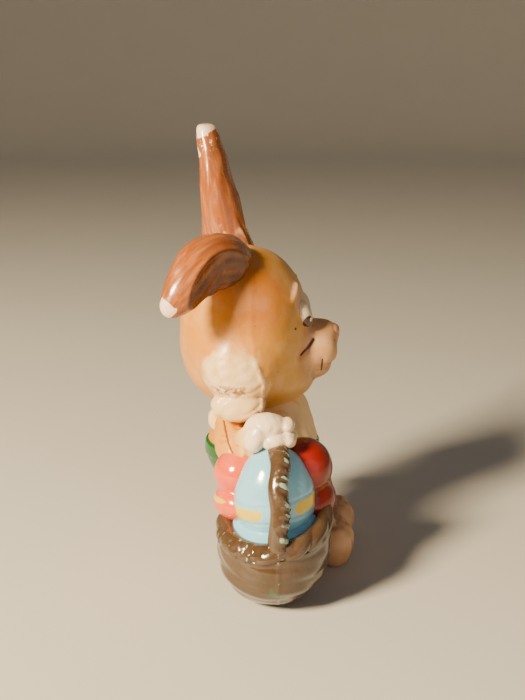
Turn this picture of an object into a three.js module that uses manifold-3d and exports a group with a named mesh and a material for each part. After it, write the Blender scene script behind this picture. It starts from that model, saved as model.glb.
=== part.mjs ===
// Souvenir figurine: a standing rabbit of painted soft PVC that holds a basket of eggs at its side.
// Millimetres. The rabbit faces -Y, its right side is -X, and it stands on the z = 0 plane.
import * as THREE from 'three';
import { mergeVertices } from 'three/addons/utils/BufferGeometryUtils.js';
import Module from 'manifold-3d';

// ---------------------------------------------------------------- driving sizes
const CLEARANCE = 0.3; // gap between two pieces that touch
const SHELL_WALL = 2.4; // wall of the moulded halves
const SEAT_DEPTH = 1.1; // how deep a cemented-on feature sits in the surface under it

const HEAD_WIDTH = 24.6;
const HEAD_DEPTH = 22.0;
const HEAD_HEIGHT = 24.2;
const HEAD_LIFT = 15.2; // the head's centre above the top of the chest
const HEAD_SET_BACK = 3.2; // how far the head's centre is behind the middle of the body
const HEAD_SEAM = -0.4; // where the front and rear halves of the head meet
const JOWL_WIDTH = 25.6;
const JOWL_HEIGHT = 19.6;
const JOWL_DROP = 7.0;
const CHIN_WIDTH = 16.0;
const CHIN_DROP = 11.4;
const CHEEK_HEIGHT = 12.0;
const CHEEK_DEPTH = 10.0;
const CHEEK_BULGE = 2.9;
const CHEEK_DROP = 8.2;

const MUZZLE_LENGTH = 6.2; // how far the muzzle stands out of the face
const MUZZLE_WIDTH = 10.8;
const MUZZLE_HEIGHT = 8.4;
const MUZZLE_DROP = 5.2;
const NOSE_WIDTH = 4.0;
const NOSE_HEIGHT = 2.6;
const TOOTH_WIDTH = 3.2;
const TOOTH_LENGTH = 3.6;
const EYE_SPACING = 9.4;
const EYE_LIFT = 0.6;
const EYE_WIDTH = 4.6;
const EYE_HEIGHT = 6.0;
const BROW_LENGTH = 4.8;

const EAR_LENGTH = 22.0;
const EAR_WIDTH = 9.6;
const EAR_THICKNESS = 7.4;
const EAR_TIP_WIDTH = 4.8;
const EAR_SPACING = 10.4;
const EAR_ROOT_DEPTH = 3.4; // length of ear plugged into the head

const CHEST_WIDTH = 17.0;
const CHEST_DEPTH = 20.2;
const CHEST_HEIGHT = 17.0;
const CHEST_CENTRE_HEIGHT = 21.6;
const HIP_WIDTH = 18.0;
const HIP_DEPTH = 17.6;
const HIP_HEIGHT = 17.0;
const HIP_CENTRE_HEIGHT = 11.8;
const HIP_FORWARD = 1.4;
const WAIST_HEIGHT = 21.4; // where the trousers end and the furry chest begins
const HEM_HEIGHT = 1.2; // bottom of the trouser legs above the floor
const LEG_WIDTH = 8.6;
const NECK_WIDTH = 9.0;
const NECK_GRIP = 6.2; // how far the post goes into the chest, and into the head
const COLLAR_WIDTH = 17.6;
const COLLAR_THICKNESS = 4.4;
const TAIL_WIDTH = 4.8;
const ARM_WIDTH = 6.8;
const HAND_WIDTH = 5.8;
const FINGER_WIDTH = 2.2;

const FOOT_LENGTH = 21.5;
const FOOT_WIDTH = 8.4;
const FOOT_HEIGHT = 8.2;
const FOOT_SPACING = 9.6;
const TOE_REACH = 17.0; // how far the toes are in front of the middle of the figure

const BASKET_WIDTH = 19.8; // across, from the rabbit outwards
const BASKET_LENGTH = 19.8; // front to back
const BASKET_HEIGHT = 13.9;
const BASKET_WALL = 1.8;
const BASKET_FOOT = 6.0; // width of the flat that it stands on
const BASKET_OFFSET = 18.4; // its centre, to the right of the rabbit's centre
const BASKET_FORWARD = 2.0;
const BASKET_LEAN = 0.26; // fall of the rim away from the rabbit, for each millimetre across
const BASKET_TILT = 0.14; // rise of the rim towards the front, for each millimetre along
const HANDLE_AHEAD = 0.6; // the handle and the parting line are this far in front of the basket's middle
const RIM_THICKNESS = 3.4;
const HANDLE_HEIGHT = 12.6; // above the rim
const HANDLE_THICKNESS = 3.0;
const EGG_WIDTH = 12.4;
const EGG_HEIGHT = 17.6;
const EGG_SINK = 2.4; // how far the eggs' bed is below the rim

const SIDES_PER_MM = 1.6; // facets around a lobe for each millimetre of its largest radius
const FEWEST_SIDES = 9;
const MOST_SIDES = 17;
const FAR = 150;

const CREAM = 0xf2d9bf;
const OCHRE = 0xd9a35c;
const CARAMEL = 0xb87440;
const GREEN = 0x2f8a4a;
const BROWN = 0x7d6145;
const BLUE = 0xb9d8dd;
const CORAL = 0xf58d6a;
const RED = 0xc2492c;
const WHITE = 0xf6efe2;
const PINK = 0xd98f7c;

const X = 0;
const Y = 1;
const Z = 2;

// ---------------------------------------------------------------- solids
const wasm = await Module();
wasm.setup();

function toSolid(geometry) {
  const bare = geometry.clone();
  bare.deleteAttribute('normal');
  bare.deleteAttribute('uv');
  const merged = mergeVertices(bare, 1e-5);
  return new wasm.Manifold(new wasm.Mesh({
    numProp: 3,
    vertProperties: new Float32Array(merged.attributes.position.array),
    triVerts: new Uint32Array(merged.index.array),
  }));
}

function toGeometry(solid) {
  const mesh = solid.getMesh();
  const geometry = new THREE.BufferGeometry();
  geometry.setAttribute('position', new THREE.BufferAttribute(mesh.vertProperties, 3));
  geometry.setIndex(new THREE.BufferAttribute(mesh.triVerts, 1));
  geometry.computeVertexNormals();
  return geometry;
}

const united = (solids) => solids.reduce((sum, next) => sum.add(next));
const mirrored = (point) => [-point[X], point[Y], point[Z]];
const shifted = (point, x, y, z) => [point[X] + x, point[Y] + y, point[Z] + z];
const vector = (point) => new THREE.Vector3(...point);

// One rounded lump of a moulding: its centre, its three radii and its turn in degrees.
function lobe(centre, radii, turn = [0, 0, 0]) {
  return { centre, radii, turn };
}

function lobeSolid({ centre, radii, turn }, grow) {
  const wanted = Math.round(Math.max(...radii) * SIDES_PER_MM);
  const sides = Math.min(MOST_SIDES, Math.max(FEWEST_SIDES, wanted));
  const ball = new THREE.SphereGeometry(1, sides, Math.round(sides * 0.6));
  const angles = turn.map(THREE.MathUtils.degToRad);
  ball.rotateX(Math.PI / 2);
  ball.scale(...radii.map((radius) => radius + grow));
  ball.applyQuaternion(new THREE.Quaternion().setFromEuler(new THREE.Euler(...angles)));
  ball.translate(...centre);
  return toSolid(ball);
}

function lobesSolid(lobes, grow) {
  return united(lobes.map((one) => lobeSolid(one, grow)));
}

// A limb: flattened round sections along a curve, with radius outline(t) for t from 0 to 1.
function limbSolid({ curve, outline, across, flatness, sides, steps }, grow) {
  const profile = [];
  for (let i = 0; i <= steps; i += 1) {
    const t = (1 - Math.cos((Math.PI * i) / steps)) / 2;
    const isEnd = i === 0 || i === steps;
    profile.push(new THREE.Vector2(isEnd ? 0 : outline(t), t));
  }
  const geometry = new THREE.LatheGeometry(profile, sides);
  const position = geometry.attributes.position;
  const vertex = new THREE.Vector3();
  for (let i = 0; i < position.count; i += 1) {
    vertex.fromBufferAttribute(position, i);
    const t = THREE.MathUtils.clamp(vertex.y, 0, 1);
    const radius = Math.hypot(vertex.x, vertex.z);
    const swell = radius > 0 ? grow / radius : 0;
    const along = curve.getTangentAt(t);
    const side = vector(across).addScaledVector(along, -along.dot(vector(across))).normalize();
    const front = new THREE.Vector3().crossVectors(side, along);
    const point = curve.getPointAt(t);
    point.addScaledVector(side, vertex.x * (1 + swell));
    point.addScaledVector(front, vertex.z * (flatness + swell));
    point.addScaledVector(along, (2 * t - 1) * grow);
    position.setXYZ(i, point.x, point.y, point.z);
  }
  return toSolid(geometry);
}

// A round bar bent into a level oval, rippled along its length when it is twisted.
function ovalRingSolid({ centre, reachX, reachY, thickness, ripples, ripple, sides }, grow) {
  const ring = new THREE.TorusGeometry(1, 0.5, 8, sides);
  const position = ring.attributes.position;
  for (let i = 0; i < position.count; i += 1) {
    const angle = Math.atan2(position.getY(i), position.getX(i));
    const outward = Math.hypot(position.getX(i), position.getY(i)) - 1;
    const around = Math.atan2(position.getZ(i), outward);
    const radius = (thickness / 2) * (1 + ripple * Math.sin(ripples * angle + around)) + grow;
    const x = (reachX + radius * Math.cos(around)) * Math.cos(angle);
    const y = (reachY + radius * Math.cos(around)) * Math.sin(angle);
    position.setXYZ(i, x, y, radius * Math.sin(around));
  }
  ring.translate(...centre);
  return toSolid(ring);
}

// The slab between two flat planes across one axis.
function slab(axis, from, to) {
  const size = [2 * FAR, 2 * FAR, 2 * FAR];
  const middle = [0, 0, 0];
  size[axis] = to - from;
  middle[axis] = (from + to) / 2;
  const block = new THREE.BoxGeometry(...size);
  block.translate(...middle);
  return toSolid(block);
}

// The half that is kept of a moulding parted on a plane across Y, with half the clearance taken off.
function halfSlab(seam, side) {
  return side < 0 ? slab(Y, -FAR, seam - CLEARANCE / 2) : slab(Y, seam + CLEARANCE / 2, FAR);
}

// Outermost point of some unturned lobes along one axis, at the given place on the other two.
function surface(lobes, axis, sign, place) {
  const others = [X, Y, Z].filter((each) => each !== axis);
  const reach = lobes.map(({ centre, radii }) => {
    const left = others.reduce((sum, each) => sum - ((place[each] - centre[each]) / radii[each]) ** 2, 1);
    return left > 0 ? centre[axis] + sign * radii[axis] * Math.sqrt(left) : -sign * FAR;
  });
  const point = [...place];
  point[axis] = sign > 0 ? Math.max(...reach) : Math.min(...reach);
  return point;
}

// ---------------------------------------------------------------- assembly
// A piece yields to every piece added before it: their shapes, grown by the clearance, are cut away.
// Where a cut leaves loose crumbs, only the largest body is the piece.
const figure = new THREE.Group();
const added = [];

function boxesMeet(a, b) {
  return [X, Y, Z].every((axis) => a.min[axis] < b.max[axis] && b.min[axis] < a.max[axis]);
}

function addPiece(name, color, roughness, shape) {
  const whole = shape(0);
  const near = added.filter(({ box }) => boxesMeet(box, whole.boundingBox()));
  const trimmed = near.reduce((solid, { cutter }) => solid.subtract(cutter), whole);
  const largest = trimmed.decompose().reduce((best, body) => (body.volume() > best.volume() ? body : best));
  const material = new THREE.MeshStandardMaterial({ color, roughness, metalness: 0 });
  const mesh = new THREE.Mesh(toGeometry(largest), material);
  mesh.name = name;
  figure.add(mesh);
  const cutter = shape(CLEARANCE);
  added.push({ cutter, box: cutter.boundingBox() });
}

// ---------------------------------------------------------------- basket frame
const basketAt = [-BASKET_OFFSET, -BASKET_FORWARD, BASKET_HEIGHT];
const rimReachX = (BASKET_WIDTH - RIM_THICKNESS) / 2;
const rimReachY = (BASKET_LENGTH - RIM_THICKNESS) / 2;
const handleTop = BASKET_HEIGHT + HANDLE_HEIGHT;
const handleAt = basketAt[Y] - HANDLE_AHEAD;

// The whole basket leans: heights change across it, in proportion, and its foot stays flat.
function leaning(solid) {
  return solid.warp((vertex) => {
    const share = Math.min(1, Math.max(0, vertex[Z] / BASKET_HEIGHT));
    const across = (vertex[X] - basketAt[X]) * BASKET_LEAN;
    const along = (vertex[Y] - basketAt[Y]) * BASKET_TILT;
    vertex[Z] += (across - along) * share;
  });
}

addPiece('basket_rim', BROWN, 0.35, (grow) => leaning(ovalRingSolid({
  centre: basketAt,
  reachX: rimReachX,
  reachY: rimReachY,
  thickness: RIM_THICKNESS,
  ripples: 14,
  ripple: 0.06,
  sides: 48,
}, grow)));

// Half-ellipse arch that rises from the rim over the eggs, in the plane across the basket.
class HandleArch extends THREE.Curve {
  getPoint(t) {
    const angle = Math.PI * t;
    const x = basketAt[X] - rimReachX * Math.cos(angle);
    return new THREE.Vector3(x, handleAt, BASKET_HEIGHT + HANDLE_HEIGHT * Math.sin(angle));
  }
}
const arch = new HandleArch();
addPiece('basket_handle', BROWN, 0.35, (grow) => leaning(limbSolid({
  curve: arch,
  outline: () => HANDLE_THICKNESS / 2,
  across: [0, 1, 0],
  flatness: 1.1,
  sides: 10,
  steps: 26,
}, grow)));

// ---------------------------------------------------------------- hand on the handle
const gripAt = [basketAt[X] + HAND_WIDTH * 0.3, handleAt + 0.7, handleTop + HAND_WIDTH * 0.45];
const palm = HAND_WIDTH / 2;
const fist = [
  lobe(shifted(gripAt, 0.8, palm * 0.6, 0.3), [palm, palm, palm - 0.3]),
  lobe(shifted(gripAt, -0.2, -palm * 0.3, 0.4), [palm, palm, palm - 0.5]),
];
for (let finger = 0; finger < 3; finger += 1) {
  const along = FINGER_WIDTH * (0.8 - finger * 0.8);
  const radii = [FINGER_WIDTH / 2, FINGER_WIDTH * 0.8, FINGER_WIDTH * 0.9];
  fist.push(lobe(shifted(gripAt, along, -palm, -0.6), radii));
}
addPiece('hand_right', CREAM, 0.5, (grow) => lobesSolid(fist, grow));

// ---------------------------------------------------------------- eggs
const eggBase = BASKET_HEIGHT - EGG_SINK;
function addEgg(name, color, acrossBasket, alongBasket, size, tilt) {
  const radii = [(EGG_WIDTH / 2) * size, (EGG_WIDTH / 2) * size, (EGG_HEIGHT / 2) * size];
  const centre = [basketAt[X] + acrossBasket, basketAt[Y] + alongBasket, eggBase + radii[Z] * 0.76];
  addPiece(name, color, 0.3, (grow) => lobeSolid(lobe(centre, radii, [tilt, 0, 0]), grow));
}
addEgg('egg_blue', BLUE, 0.6, -0.1, 1.0, 0);
addEgg('egg_coral', CORAL, 2.2, 5.0, 0.84, -6);
addEgg('egg_red', RED, 3.0, -5.1, 0.94, 6);

// ---------------------------------------------------------------- basket
addPiece('egg_bed', BLUE, 0.5, (grow) => leaning(lobeSolid(lobe(
  shifted(basketAt, 0, 0, -EGG_SINK * 0.7),
  [rimReachX - RIM_THICKNESS * 0.35, rimReachY - RIM_THICKNESS * 0.35, EGG_SINK * 1.7],
), grow)));

// Bowl: a turned profile, drawn out to the basket's oval, with a flat foot and an open top.
function bowlSolid(side, grow) {
  const halfFoot = BASKET_FOOT / 2;
  const halfWidth = BASKET_WIDTH / 2;
  const outer = [];
  const inner = [];
  const steps = 7;
  for (let i = 0; i <= steps; i += 1) {
    const angle = (Math.PI / 2) * (i / steps);
    const radius = halfFoot + (halfWidth - halfFoot) * Math.sin(angle) ** 0.8;
    const rise = 1 - Math.cos(angle);
    outer.push(new THREE.Vector2(radius + grow, BASKET_HEIGHT * rise));
    const innerHeight = BASKET_WALL + (BASKET_HEIGHT - BASKET_WALL) * rise;
    inner.unshift(new THREE.Vector2(radius - BASKET_WALL - grow, innerHeight));
  }
  const profile = [new THREE.Vector2(0, 0), ...outer, ...inner, new THREE.Vector2(0, BASKET_WALL)];
  const bowl = new THREE.LatheGeometry(profile, 30);
  bowl.rotateX(Math.PI / 2);
  bowl.scale(1, BASKET_LENGTH / BASKET_WIDTH, 1);
  bowl.translate(basketAt[X], basketAt[Y], 0);
  return leaning(toSolid(bowl)).intersect(halfSlab(handleAt, side));
}
addPiece('basket_front_shell', BROWN, 0.35, (grow) => bowlSolid(-1, grow));
addPiece('basket_rear_shell', BROWN, 0.35, (grow) => bowlSolid(1, grow));

// ---------------------------------------------------------------- feet
function footLobes(side) {
  const x = (side * FOOT_SPACING) / 2;
  const lead = side > 0 ? 0.8 : 0;
  const toe = FOOT_WIDTH / 5;
  const ball = -TOE_REACH + 3.0 - lead;
  const lobes = [
    lobe([x, FOOT_LENGTH / 2 - TOE_REACH + 1.5, FOOT_HEIGHT * 0.36],
      [FOOT_WIDTH / 2 - 0.4, FOOT_LENGTH / 2 - 1.5, FOOT_HEIGHT * 0.5]),
    lobe([x, ball + 2.2, FOOT_HEIGHT * 0.5], [FOOT_WIDTH / 2 - 0.3, 4.2, FOOT_HEIGHT * 0.5]),
    lobe([x, ball + 5.4, FOOT_HEIGHT * 0.8], [FOOT_WIDTH / 2 - 1.0, 4.6, FOOT_HEIGHT * 0.5], [-24, 0, 0]),
  ];
  for (let step = -1; step <= 1; step += 1) {
    const back = step === 0 ? 0 : 0.6;
    lobes.push(lobe([x + step * toe * 1.45, ball + back, FOOT_HEIGHT * 0.46], [toe, 2.9, FOOT_HEIGHT * 0.5]));
  }
  return lobes;
}
for (const [name, side] of [['foot_right', -1], ['foot_left', 1]]) {
  addPiece(name, CREAM, 0.5, (grow) => lobesSolid(footLobes(side), grow).intersect(slab(Z, 0, FAR)));
}

// ---------------------------------------------------------------- face
const chestTop = CHEST_CENTRE_HEIGHT + CHEST_HEIGHT / 2;
const headAt = [0, HEAD_SET_BACK, chestTop + HEAD_LIFT];
const headLobes = [
  lobe(headAt, [HEAD_WIDTH / 2, HEAD_DEPTH / 2, HEAD_HEIGHT / 2]),
  lobe(shifted(headAt, 0, -0.3, -JOWL_DROP), [JOWL_WIDTH / 2, HEAD_DEPTH / 2 - 0.3, JOWL_HEIGHT / 2]),
  lobe(shifted(headAt, 0, -4.8, -CHIN_DROP), [CHIN_WIDTH / 2, 7.4, 5.2]),
];
const onFace = (x, lift) => surface(headLobes, Y, -1, [x, 0, headAt[Z] + lift]);
const onSide = (sign, y, lift) => surface(headLobes, X, sign, [0, headAt[Y] + y, headAt[Z] + lift]);
const seatedInHead = (lobes) => (grow) => (
  lobesSolid(lobes, grow).subtract(lobesSolid(headLobes, -SEAT_DEPTH - grow))
);

const muzzleRoot = onFace(0, -MUZZLE_DROP);
const muzzleTip = muzzleRoot[Y] - MUZZLE_LENGTH;
const padReach = MUZZLE_LENGTH * 0.62 + SEAT_DEPTH;
const padAt = [MUZZLE_WIDTH / 4, muzzleTip + padReach, muzzleRoot[Z]];
addPiece('nose', PINK, 0.4, (grow) => lobeSolid(lobe(
  [0, muzzleTip + NOSE_HEIGHT * 0.5, muzzleRoot[Z] + MUZZLE_HEIGHT * 0.3],
  [NOSE_WIDTH / 2, NOSE_HEIGHT * 0.6, NOSE_HEIGHT / 2],
), grow));
addPiece('front_teeth', WHITE, 0.3, (grow) => lobeSolid(lobe(
  [0, muzzleTip + MUZZLE_LENGTH * 0.42, muzzleRoot[Z] - MUZZLE_HEIGHT * 0.42],
  [TOOTH_WIDTH / 2, TOOTH_WIDTH * 0.38, TOOTH_LENGTH / 2],
), grow));
const padRadii = [MUZZLE_WIDTH / 4 + 0.6, padReach, MUZZLE_HEIGHT / 2 - 0.3];
addPiece('muzzle', CREAM, 0.5, seatedInHead([
  lobe(padAt, padRadii),
  lobe(mirrored(padAt), padRadii),
  lobe(
    [0, padAt[Y] + 0.2, padAt[Z] + MUZZLE_HEIGHT * 0.2],
    [MUZZLE_WIDTH * 0.3, padReach, MUZZLE_HEIGHT * 0.32],
  ),
]));
addPiece('lower_lip', CREAM, 0.5, seatedInHead([
  lobe(
    [0, muzzleRoot[Y] + 0.4, muzzleRoot[Z] - MUZZLE_HEIGHT * 0.62],
    [MUZZLE_WIDTH / 3, MUZZLE_LENGTH * 0.72, MUZZLE_HEIGHT * 0.26],
  ),
]));

const CHEEK_SPLIT = 0.42;
for (const [side, sign] of [['right', -1], ['left', 1]]) {
  const eyeAt = onFace((sign * EYE_SPACING) / 2, EYE_LIFT);
  addPiece(`eye_${side}`, WHITE, 0.25, seatedInHead([
    lobe(shifted(eyeAt, 0, 0.5, 0), [EYE_WIDTH / 2, 1.7, EYE_HEIGHT / 2], [12, 0, sign * 24]),
  ]));
  const browAt = onFace(sign * (EYE_SPACING / 2 + 1.1), EYE_LIFT + EYE_HEIGHT / 2 + 1.8);
  addPiece(`brow_${side}`, CREAM, 0.5, seatedInHead([
    lobe(shifted(browAt, 0, 0.3, 0), [BROW_LENGTH / 2, 1.4, 1.3], [30, sign * 20, sign * 34]),
  ]));
  const upperAt = onSide(sign, 0.8, -CHEEK_DROP);
  const lowerAt = onSide(sign, 0.8, -CHEEK_DROP - CHEEK_HEIGHT * CHEEK_SPLIT);
  addPiece(`cheek_tuft_${side}`, CREAM, 0.5, seatedInHead([
    lobe(shifted(upperAt, -sign * 1.2, 0, 0), [CHEEK_BULGE + 0.6, CHEEK_DEPTH / 2, CHEEK_HEIGHT * 0.38]),
    lobe(shifted(lowerAt, -sign * 0.4, 0, 0), [CHEEK_BULGE, CHEEK_DEPTH / 2 - 0.8, CHEEK_HEIGHT * 0.24]),
  ]));
}

// ---------------------------------------------------------------- ears
// Broad near the root and blunt at the tip; the root plugs into the head.
function earOutline(t) {
  const taper = THREE.MathUtils.lerp(EAR_WIDTH, EAR_TIP_WIDTH, THREE.MathUtils.smoothstep(t, 0.3, 1));
  return (taper / 2) * (0.72 + 0.28 * Math.sin(Math.PI * Math.min(1, 0.1 + 0.8 * t)));
}
function addEar(name, across, root, middle, tip) {
  const inward = vector(root).sub(vector(middle)).setLength(EAR_ROOT_DEPTH);
  const plugEnd = vector(root).add(inward);
  addPiece(name, CARAMEL, 0.4, (grow) => limbSolid({
    curve: new THREE.QuadraticBezierCurve3(plugEnd, vector(middle), vector(tip)),
    outline: earOutline,
    across,
    flatness: EAR_THICKNESS / EAR_WIDTH,
    sides: 14,
    steps: 12,
  }, grow));
}
const onCrown = (x, y) => surface(headLobes, Z, 1, [x, headAt[Y] + y, 0]);
const leftRoot = onCrown(EAR_SPACING / 2, 2.4);
addEar('ear_left', [1, -0.6, 0], leftRoot,
  shifted(leftRoot, 0.6, 1.6, EAR_LENGTH * 0.5),
  shifted(leftRoot, 1.6, 4.0, EAR_LENGTH * 0.985));
const rightRoot = onCrown(-EAR_SPACING / 2, 1.4);
addEar('ear_right', [0.45, -0.5, 0.75], rightRoot,
  shifted(rightRoot, -EAR_LENGTH * 0.4, 3.6, 2.6),
  shifted(rightRoot, -EAR_LENGTH * 0.6, 11.2, -EAR_LENGTH * 0.28));

// ---------------------------------------------------------------- head
const underHead = surface(headLobes, Z, -1, [0, HEAD_SET_BACK / 2, 0]);
const postBottom = chestTop - NECK_GRIP;
const postTop = underHead[Z] + NECK_GRIP;
addPiece('neck_post', OCHRE, 0.6, (grow) => lobeSolid(lobe(
  [0, HEAD_SET_BACK / 2, (postBottom + postTop) / 2],
  [NECK_WIDTH / 2, NECK_WIDTH / 2, (postTop - postBottom) / 2],
), grow));

// Half of a hollow moulding, parted on a plane across Y.
function shellHalf(lobes, seam, side, grow) {
  const wall = lobesSolid(lobes, grow).subtract(lobesSolid(lobes, -SHELL_WALL - grow));
  return wall.intersect(halfSlab(seam, side));
}
addPiece('head_front_shell', OCHRE, 0.45, (grow) => shellHalf(headLobes, HEAD_SEAM, -1, grow));
addPiece('head_rear_shell', OCHRE, 0.45, (grow) => shellHalf(headLobes, HEAD_SEAM, 1, grow));

// ---------------------------------------------------------------- collar
// A ring of fur round the neck, sunk into the top of the chest.
const chestLobes = [lobe([0, 0, CHEST_CENTRE_HEIGHT], [CHEST_WIDTH / 2, CHEST_DEPTH / 2, CHEST_HEIGHT / 2])];
addPiece('collar', CREAM, 0.5, (grow) => ovalRingSolid({
  centre: [0, 0.8, chestTop - COLLAR_THICKNESS],
  reachX: (COLLAR_WIDTH - COLLAR_THICKNESS) / 2,
  reachY: (COLLAR_WIDTH - COLLAR_THICKNESS) / 2 + 0.6,
  thickness: COLLAR_THICKNESS,
  ripples: 0,
  ripple: 0,
  sides: 28,
}, grow).subtract(lobesSolid(chestLobes, -SEAT_DEPTH - grow)));

// ---------------------------------------------------------------- arms
const shoulderHeight = CHEST_CENTRE_HEIGHT + CHEST_HEIGHT * 0.2;
function armSolid(points, grow) {
  return limbSolid({
    curve: new THREE.CatmullRomCurve3(points.map(vector)),
    outline: (t) => (ARM_WIDTH / 2) * (1 - 0.28 * t) * Math.min(1, 0.7 + 3 * t, 0.7 + 3 * (1 - t)),
    across: [0, 1, 0],
    flatness: 1,
    sides: 12,
    steps: 12,
  }, grow);
}
const rightShoulder = [-CHEST_WIDTH / 2 + 1.6, 5.4, shoulderHeight];
const rightElbow = [-CHEST_WIDTH / 2 - 2.8, 5.8, shoulderHeight - 3.2];
const rightWrist = shifted(gripAt, palm * 0.6, palm * 1.3, -1.6);
addPiece('arm_right', OCHRE, 0.5, (grow) => armSolid([rightShoulder, rightElbow, rightWrist], grow));

const leftWrist = [HIP_WIDTH / 2 + 0.6, -5.0, WAIST_HEIGHT - 3.0];
const leftPalm = shifted(leftWrist, -1.2, -2.4, 0);
const openHand = [lobe(leftPalm, [palm - 0.4, palm, palm - 0.4])];
for (let finger = -1; finger <= 1; finger += 1) {
  const lift = finger * FINGER_WIDTH * 0.8;
  const radii = [FINGER_WIDTH, FINGER_WIDTH * 0.85, FINGER_WIDTH / 2];
  openHand.push(lobe(shifted(leftPalm, -1.4, -2.2, lift), radii));
}
addPiece('hand_left', CREAM, 0.5, (grow) => lobesSolid(openHand, grow));
const leftElbow = [CHEST_WIDTH / 2 + 3.8, 4.0, shoulderHeight - 7.0];
addPiece('arm_left', OCHRE, 0.5, (grow) => armSolid([mirrored(rightShoulder), leftElbow, leftWrist], grow));

// ---------------------------------------------------------------- body
const hipLobe = lobe([0, -HIP_FORWARD, HIP_CENTRE_HEIGHT], [HIP_WIDTH / 2, HIP_DEPTH / 2, HIP_HEIGHT / 2]);
const legLobes = [-1, 1].map((side) => lobe(
  [(side * FOOT_SPACING) / 2, -HIP_FORWARD, HEM_HEIGHT + LEG_WIDTH * 0.5],
  [LEG_WIDTH / 2, LEG_WIDTH / 2 + 1.2, LEG_WIDTH * 0.6],
));
const trouserLobes = [...chestLobes, hipLobe, ...legLobes];

const tailAt = surface([hipLobe], Y, 1, [0, 0, HIP_CENTRE_HEIGHT - HIP_HEIGHT * 0.2]);
addPiece('tail', CREAM, 0.6, (grow) => lobeSolid(lobe(
  shifted(tailAt, 0, -TAIL_WIDTH * 0.15, 0),
  [TAIL_WIDTH / 2, TAIL_WIDTH / 2, TAIL_WIDTH / 2],
), grow));

for (const [half, side, furColour] of [['front', -1, CREAM], ['rear', 1, OCHRE]]) {
  addPiece(`trousers_${half}_shell`, GREEN, 0.4, (grow) => (
    shellHalf(trouserLobes, 0, side, grow).intersect(slab(Z, HEM_HEIGHT, WAIST_HEIGHT))
  ));
  addPiece(`chest_${half}_shell`, furColour, 0.5, (grow) => (
    shellHalf(chestLobes, 0, side, grow).intersect(slab(Z, WAIST_HEIGHT + CLEARANCE, FAR))
  ));
}

// The origin is the middle of the box's underside.
const bounds = new THREE.Box3().setFromObject(figure);
const middle = bounds.getCenter(new THREE.Vector3());
figure.position.set(-middle.x, -middle.y, -bounds.min.z);

export default figure;
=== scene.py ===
from math import cos, degrees, pi, radians, sin
import bmesh
import bpy
import numpy as np
from mathutils import Euler, Matrix, Vector


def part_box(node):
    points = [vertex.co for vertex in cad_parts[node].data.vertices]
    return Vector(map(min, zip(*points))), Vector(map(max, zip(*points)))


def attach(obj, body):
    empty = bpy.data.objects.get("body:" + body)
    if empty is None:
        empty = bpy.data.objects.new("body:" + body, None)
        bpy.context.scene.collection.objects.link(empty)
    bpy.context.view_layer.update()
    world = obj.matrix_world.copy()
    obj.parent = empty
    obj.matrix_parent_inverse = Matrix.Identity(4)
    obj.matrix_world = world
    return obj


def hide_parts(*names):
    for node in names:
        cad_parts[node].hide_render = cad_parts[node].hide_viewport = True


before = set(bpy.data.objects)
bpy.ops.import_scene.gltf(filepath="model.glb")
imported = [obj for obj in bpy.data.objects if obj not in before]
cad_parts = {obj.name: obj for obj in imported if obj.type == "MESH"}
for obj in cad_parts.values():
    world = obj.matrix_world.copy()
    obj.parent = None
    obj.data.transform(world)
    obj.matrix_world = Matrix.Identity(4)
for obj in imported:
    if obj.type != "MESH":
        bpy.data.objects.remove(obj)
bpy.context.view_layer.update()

# ---------------------------------------------------------------- the head
# The head is one hollow moulding of soft PVC, parted front and rear, with the muzzle, the cheek tufts
# and the brow ridges moulded on. It is sprayed ochre over the cream plastic, and the muzzle, the tufts
# and the skin round the eyes are painted by hand in a pinkish cream. It plugs onto a post in the neck.
MM = 0.001
SEAM_AHEAD = 0.25  # the rear half of the head starts this far behind the datum's plane

feet = [np.array(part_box(name)) / MM for name in ("foot_right", "foot_left")]
datum = np.array([
    np.mean([foot[:, 0].mean() for foot in feet]),
    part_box("head_rear_shell")[0][1] / MM + SEAM_AHEAD,
    0.0,
])


def lump(centre, radii, turn=(0, 0, 0), soft=1.0):
    """A rounded lump of clay: millimetres from the datum, a turn in degrees, and how softly it blends in."""
    rotation = np.array(Euler([radians(angle) for angle in turn]).to_matrix())
    return np.array(centre, float), np.array(radii, float), rotation, soft


def mirrored(one):
    """The same lump on the rabbit's other side."""
    centre, radii, rotation, soft = one
    flip = np.diag([-1.0, 1.0, 1.0])
    return flip @ centre, radii, flip @ rotation @ flip, soft


def distance(points, one):
    """Distance in millimetres from a lump's surface, negative inside."""
    centre, radii, rotation, _ = one
    local = (points - centre) @ rotation
    reach = np.linalg.norm(local / radii, axis=1)
    slope = np.linalg.norm(local / radii ** 2, axis=1)
    return reach * (reach - 1) / np.maximum(slope, 1e-9)


def merge(a, b, soft):
    """The nearer of two distances, rounded over where they meet."""
    share = np.clip(0.5 + 0.5 * (b - a) / soft, 0, 1)
    return b + (a - b) * share - soft * share * (1 - share)


def clay(points, lumps, hollows=()):
    """Distance from the smooth surface over all the lumps, with the hollows scooped out of it."""
    total = distance(points, lumps[0])
    for one in lumps[1:]:
        total = merge(total, distance(points, one), one[3])
    for one in hollows:
        total = -merge(-total, distance(points, one), one[3])
    return total


CREASE_WIDTH = 0.9  # how far from a crease's bottom the grime reaches
SHARP = 1.0  # lumps set in more softly than this leave no crease


def creases(points, lumps):
    """1 in the bottom of a crease, where a sharply set lump meets the ones before it, and 0 away from it."""
    total, depth = distance(points, lumps[0]), np.zeros(len(points))
    for one in lumps[1:]:
        apart = distance(points, one)
        if one[3] <= SHARP:
            near = 1 - np.clip(np.abs(total - apart) / CREASE_WIDTH, 0, 1)
            depth = np.maximum(depth, near ** 2)
        total = merge(total, apart, one[3])
    return depth


def ramp(value, start, end):
    """0 before start, 1 after end, and a smooth rise between them."""
    t = np.clip((value - start) / (end - start), 0, 1)
    return t * t * (3 - 2 * t)


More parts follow.
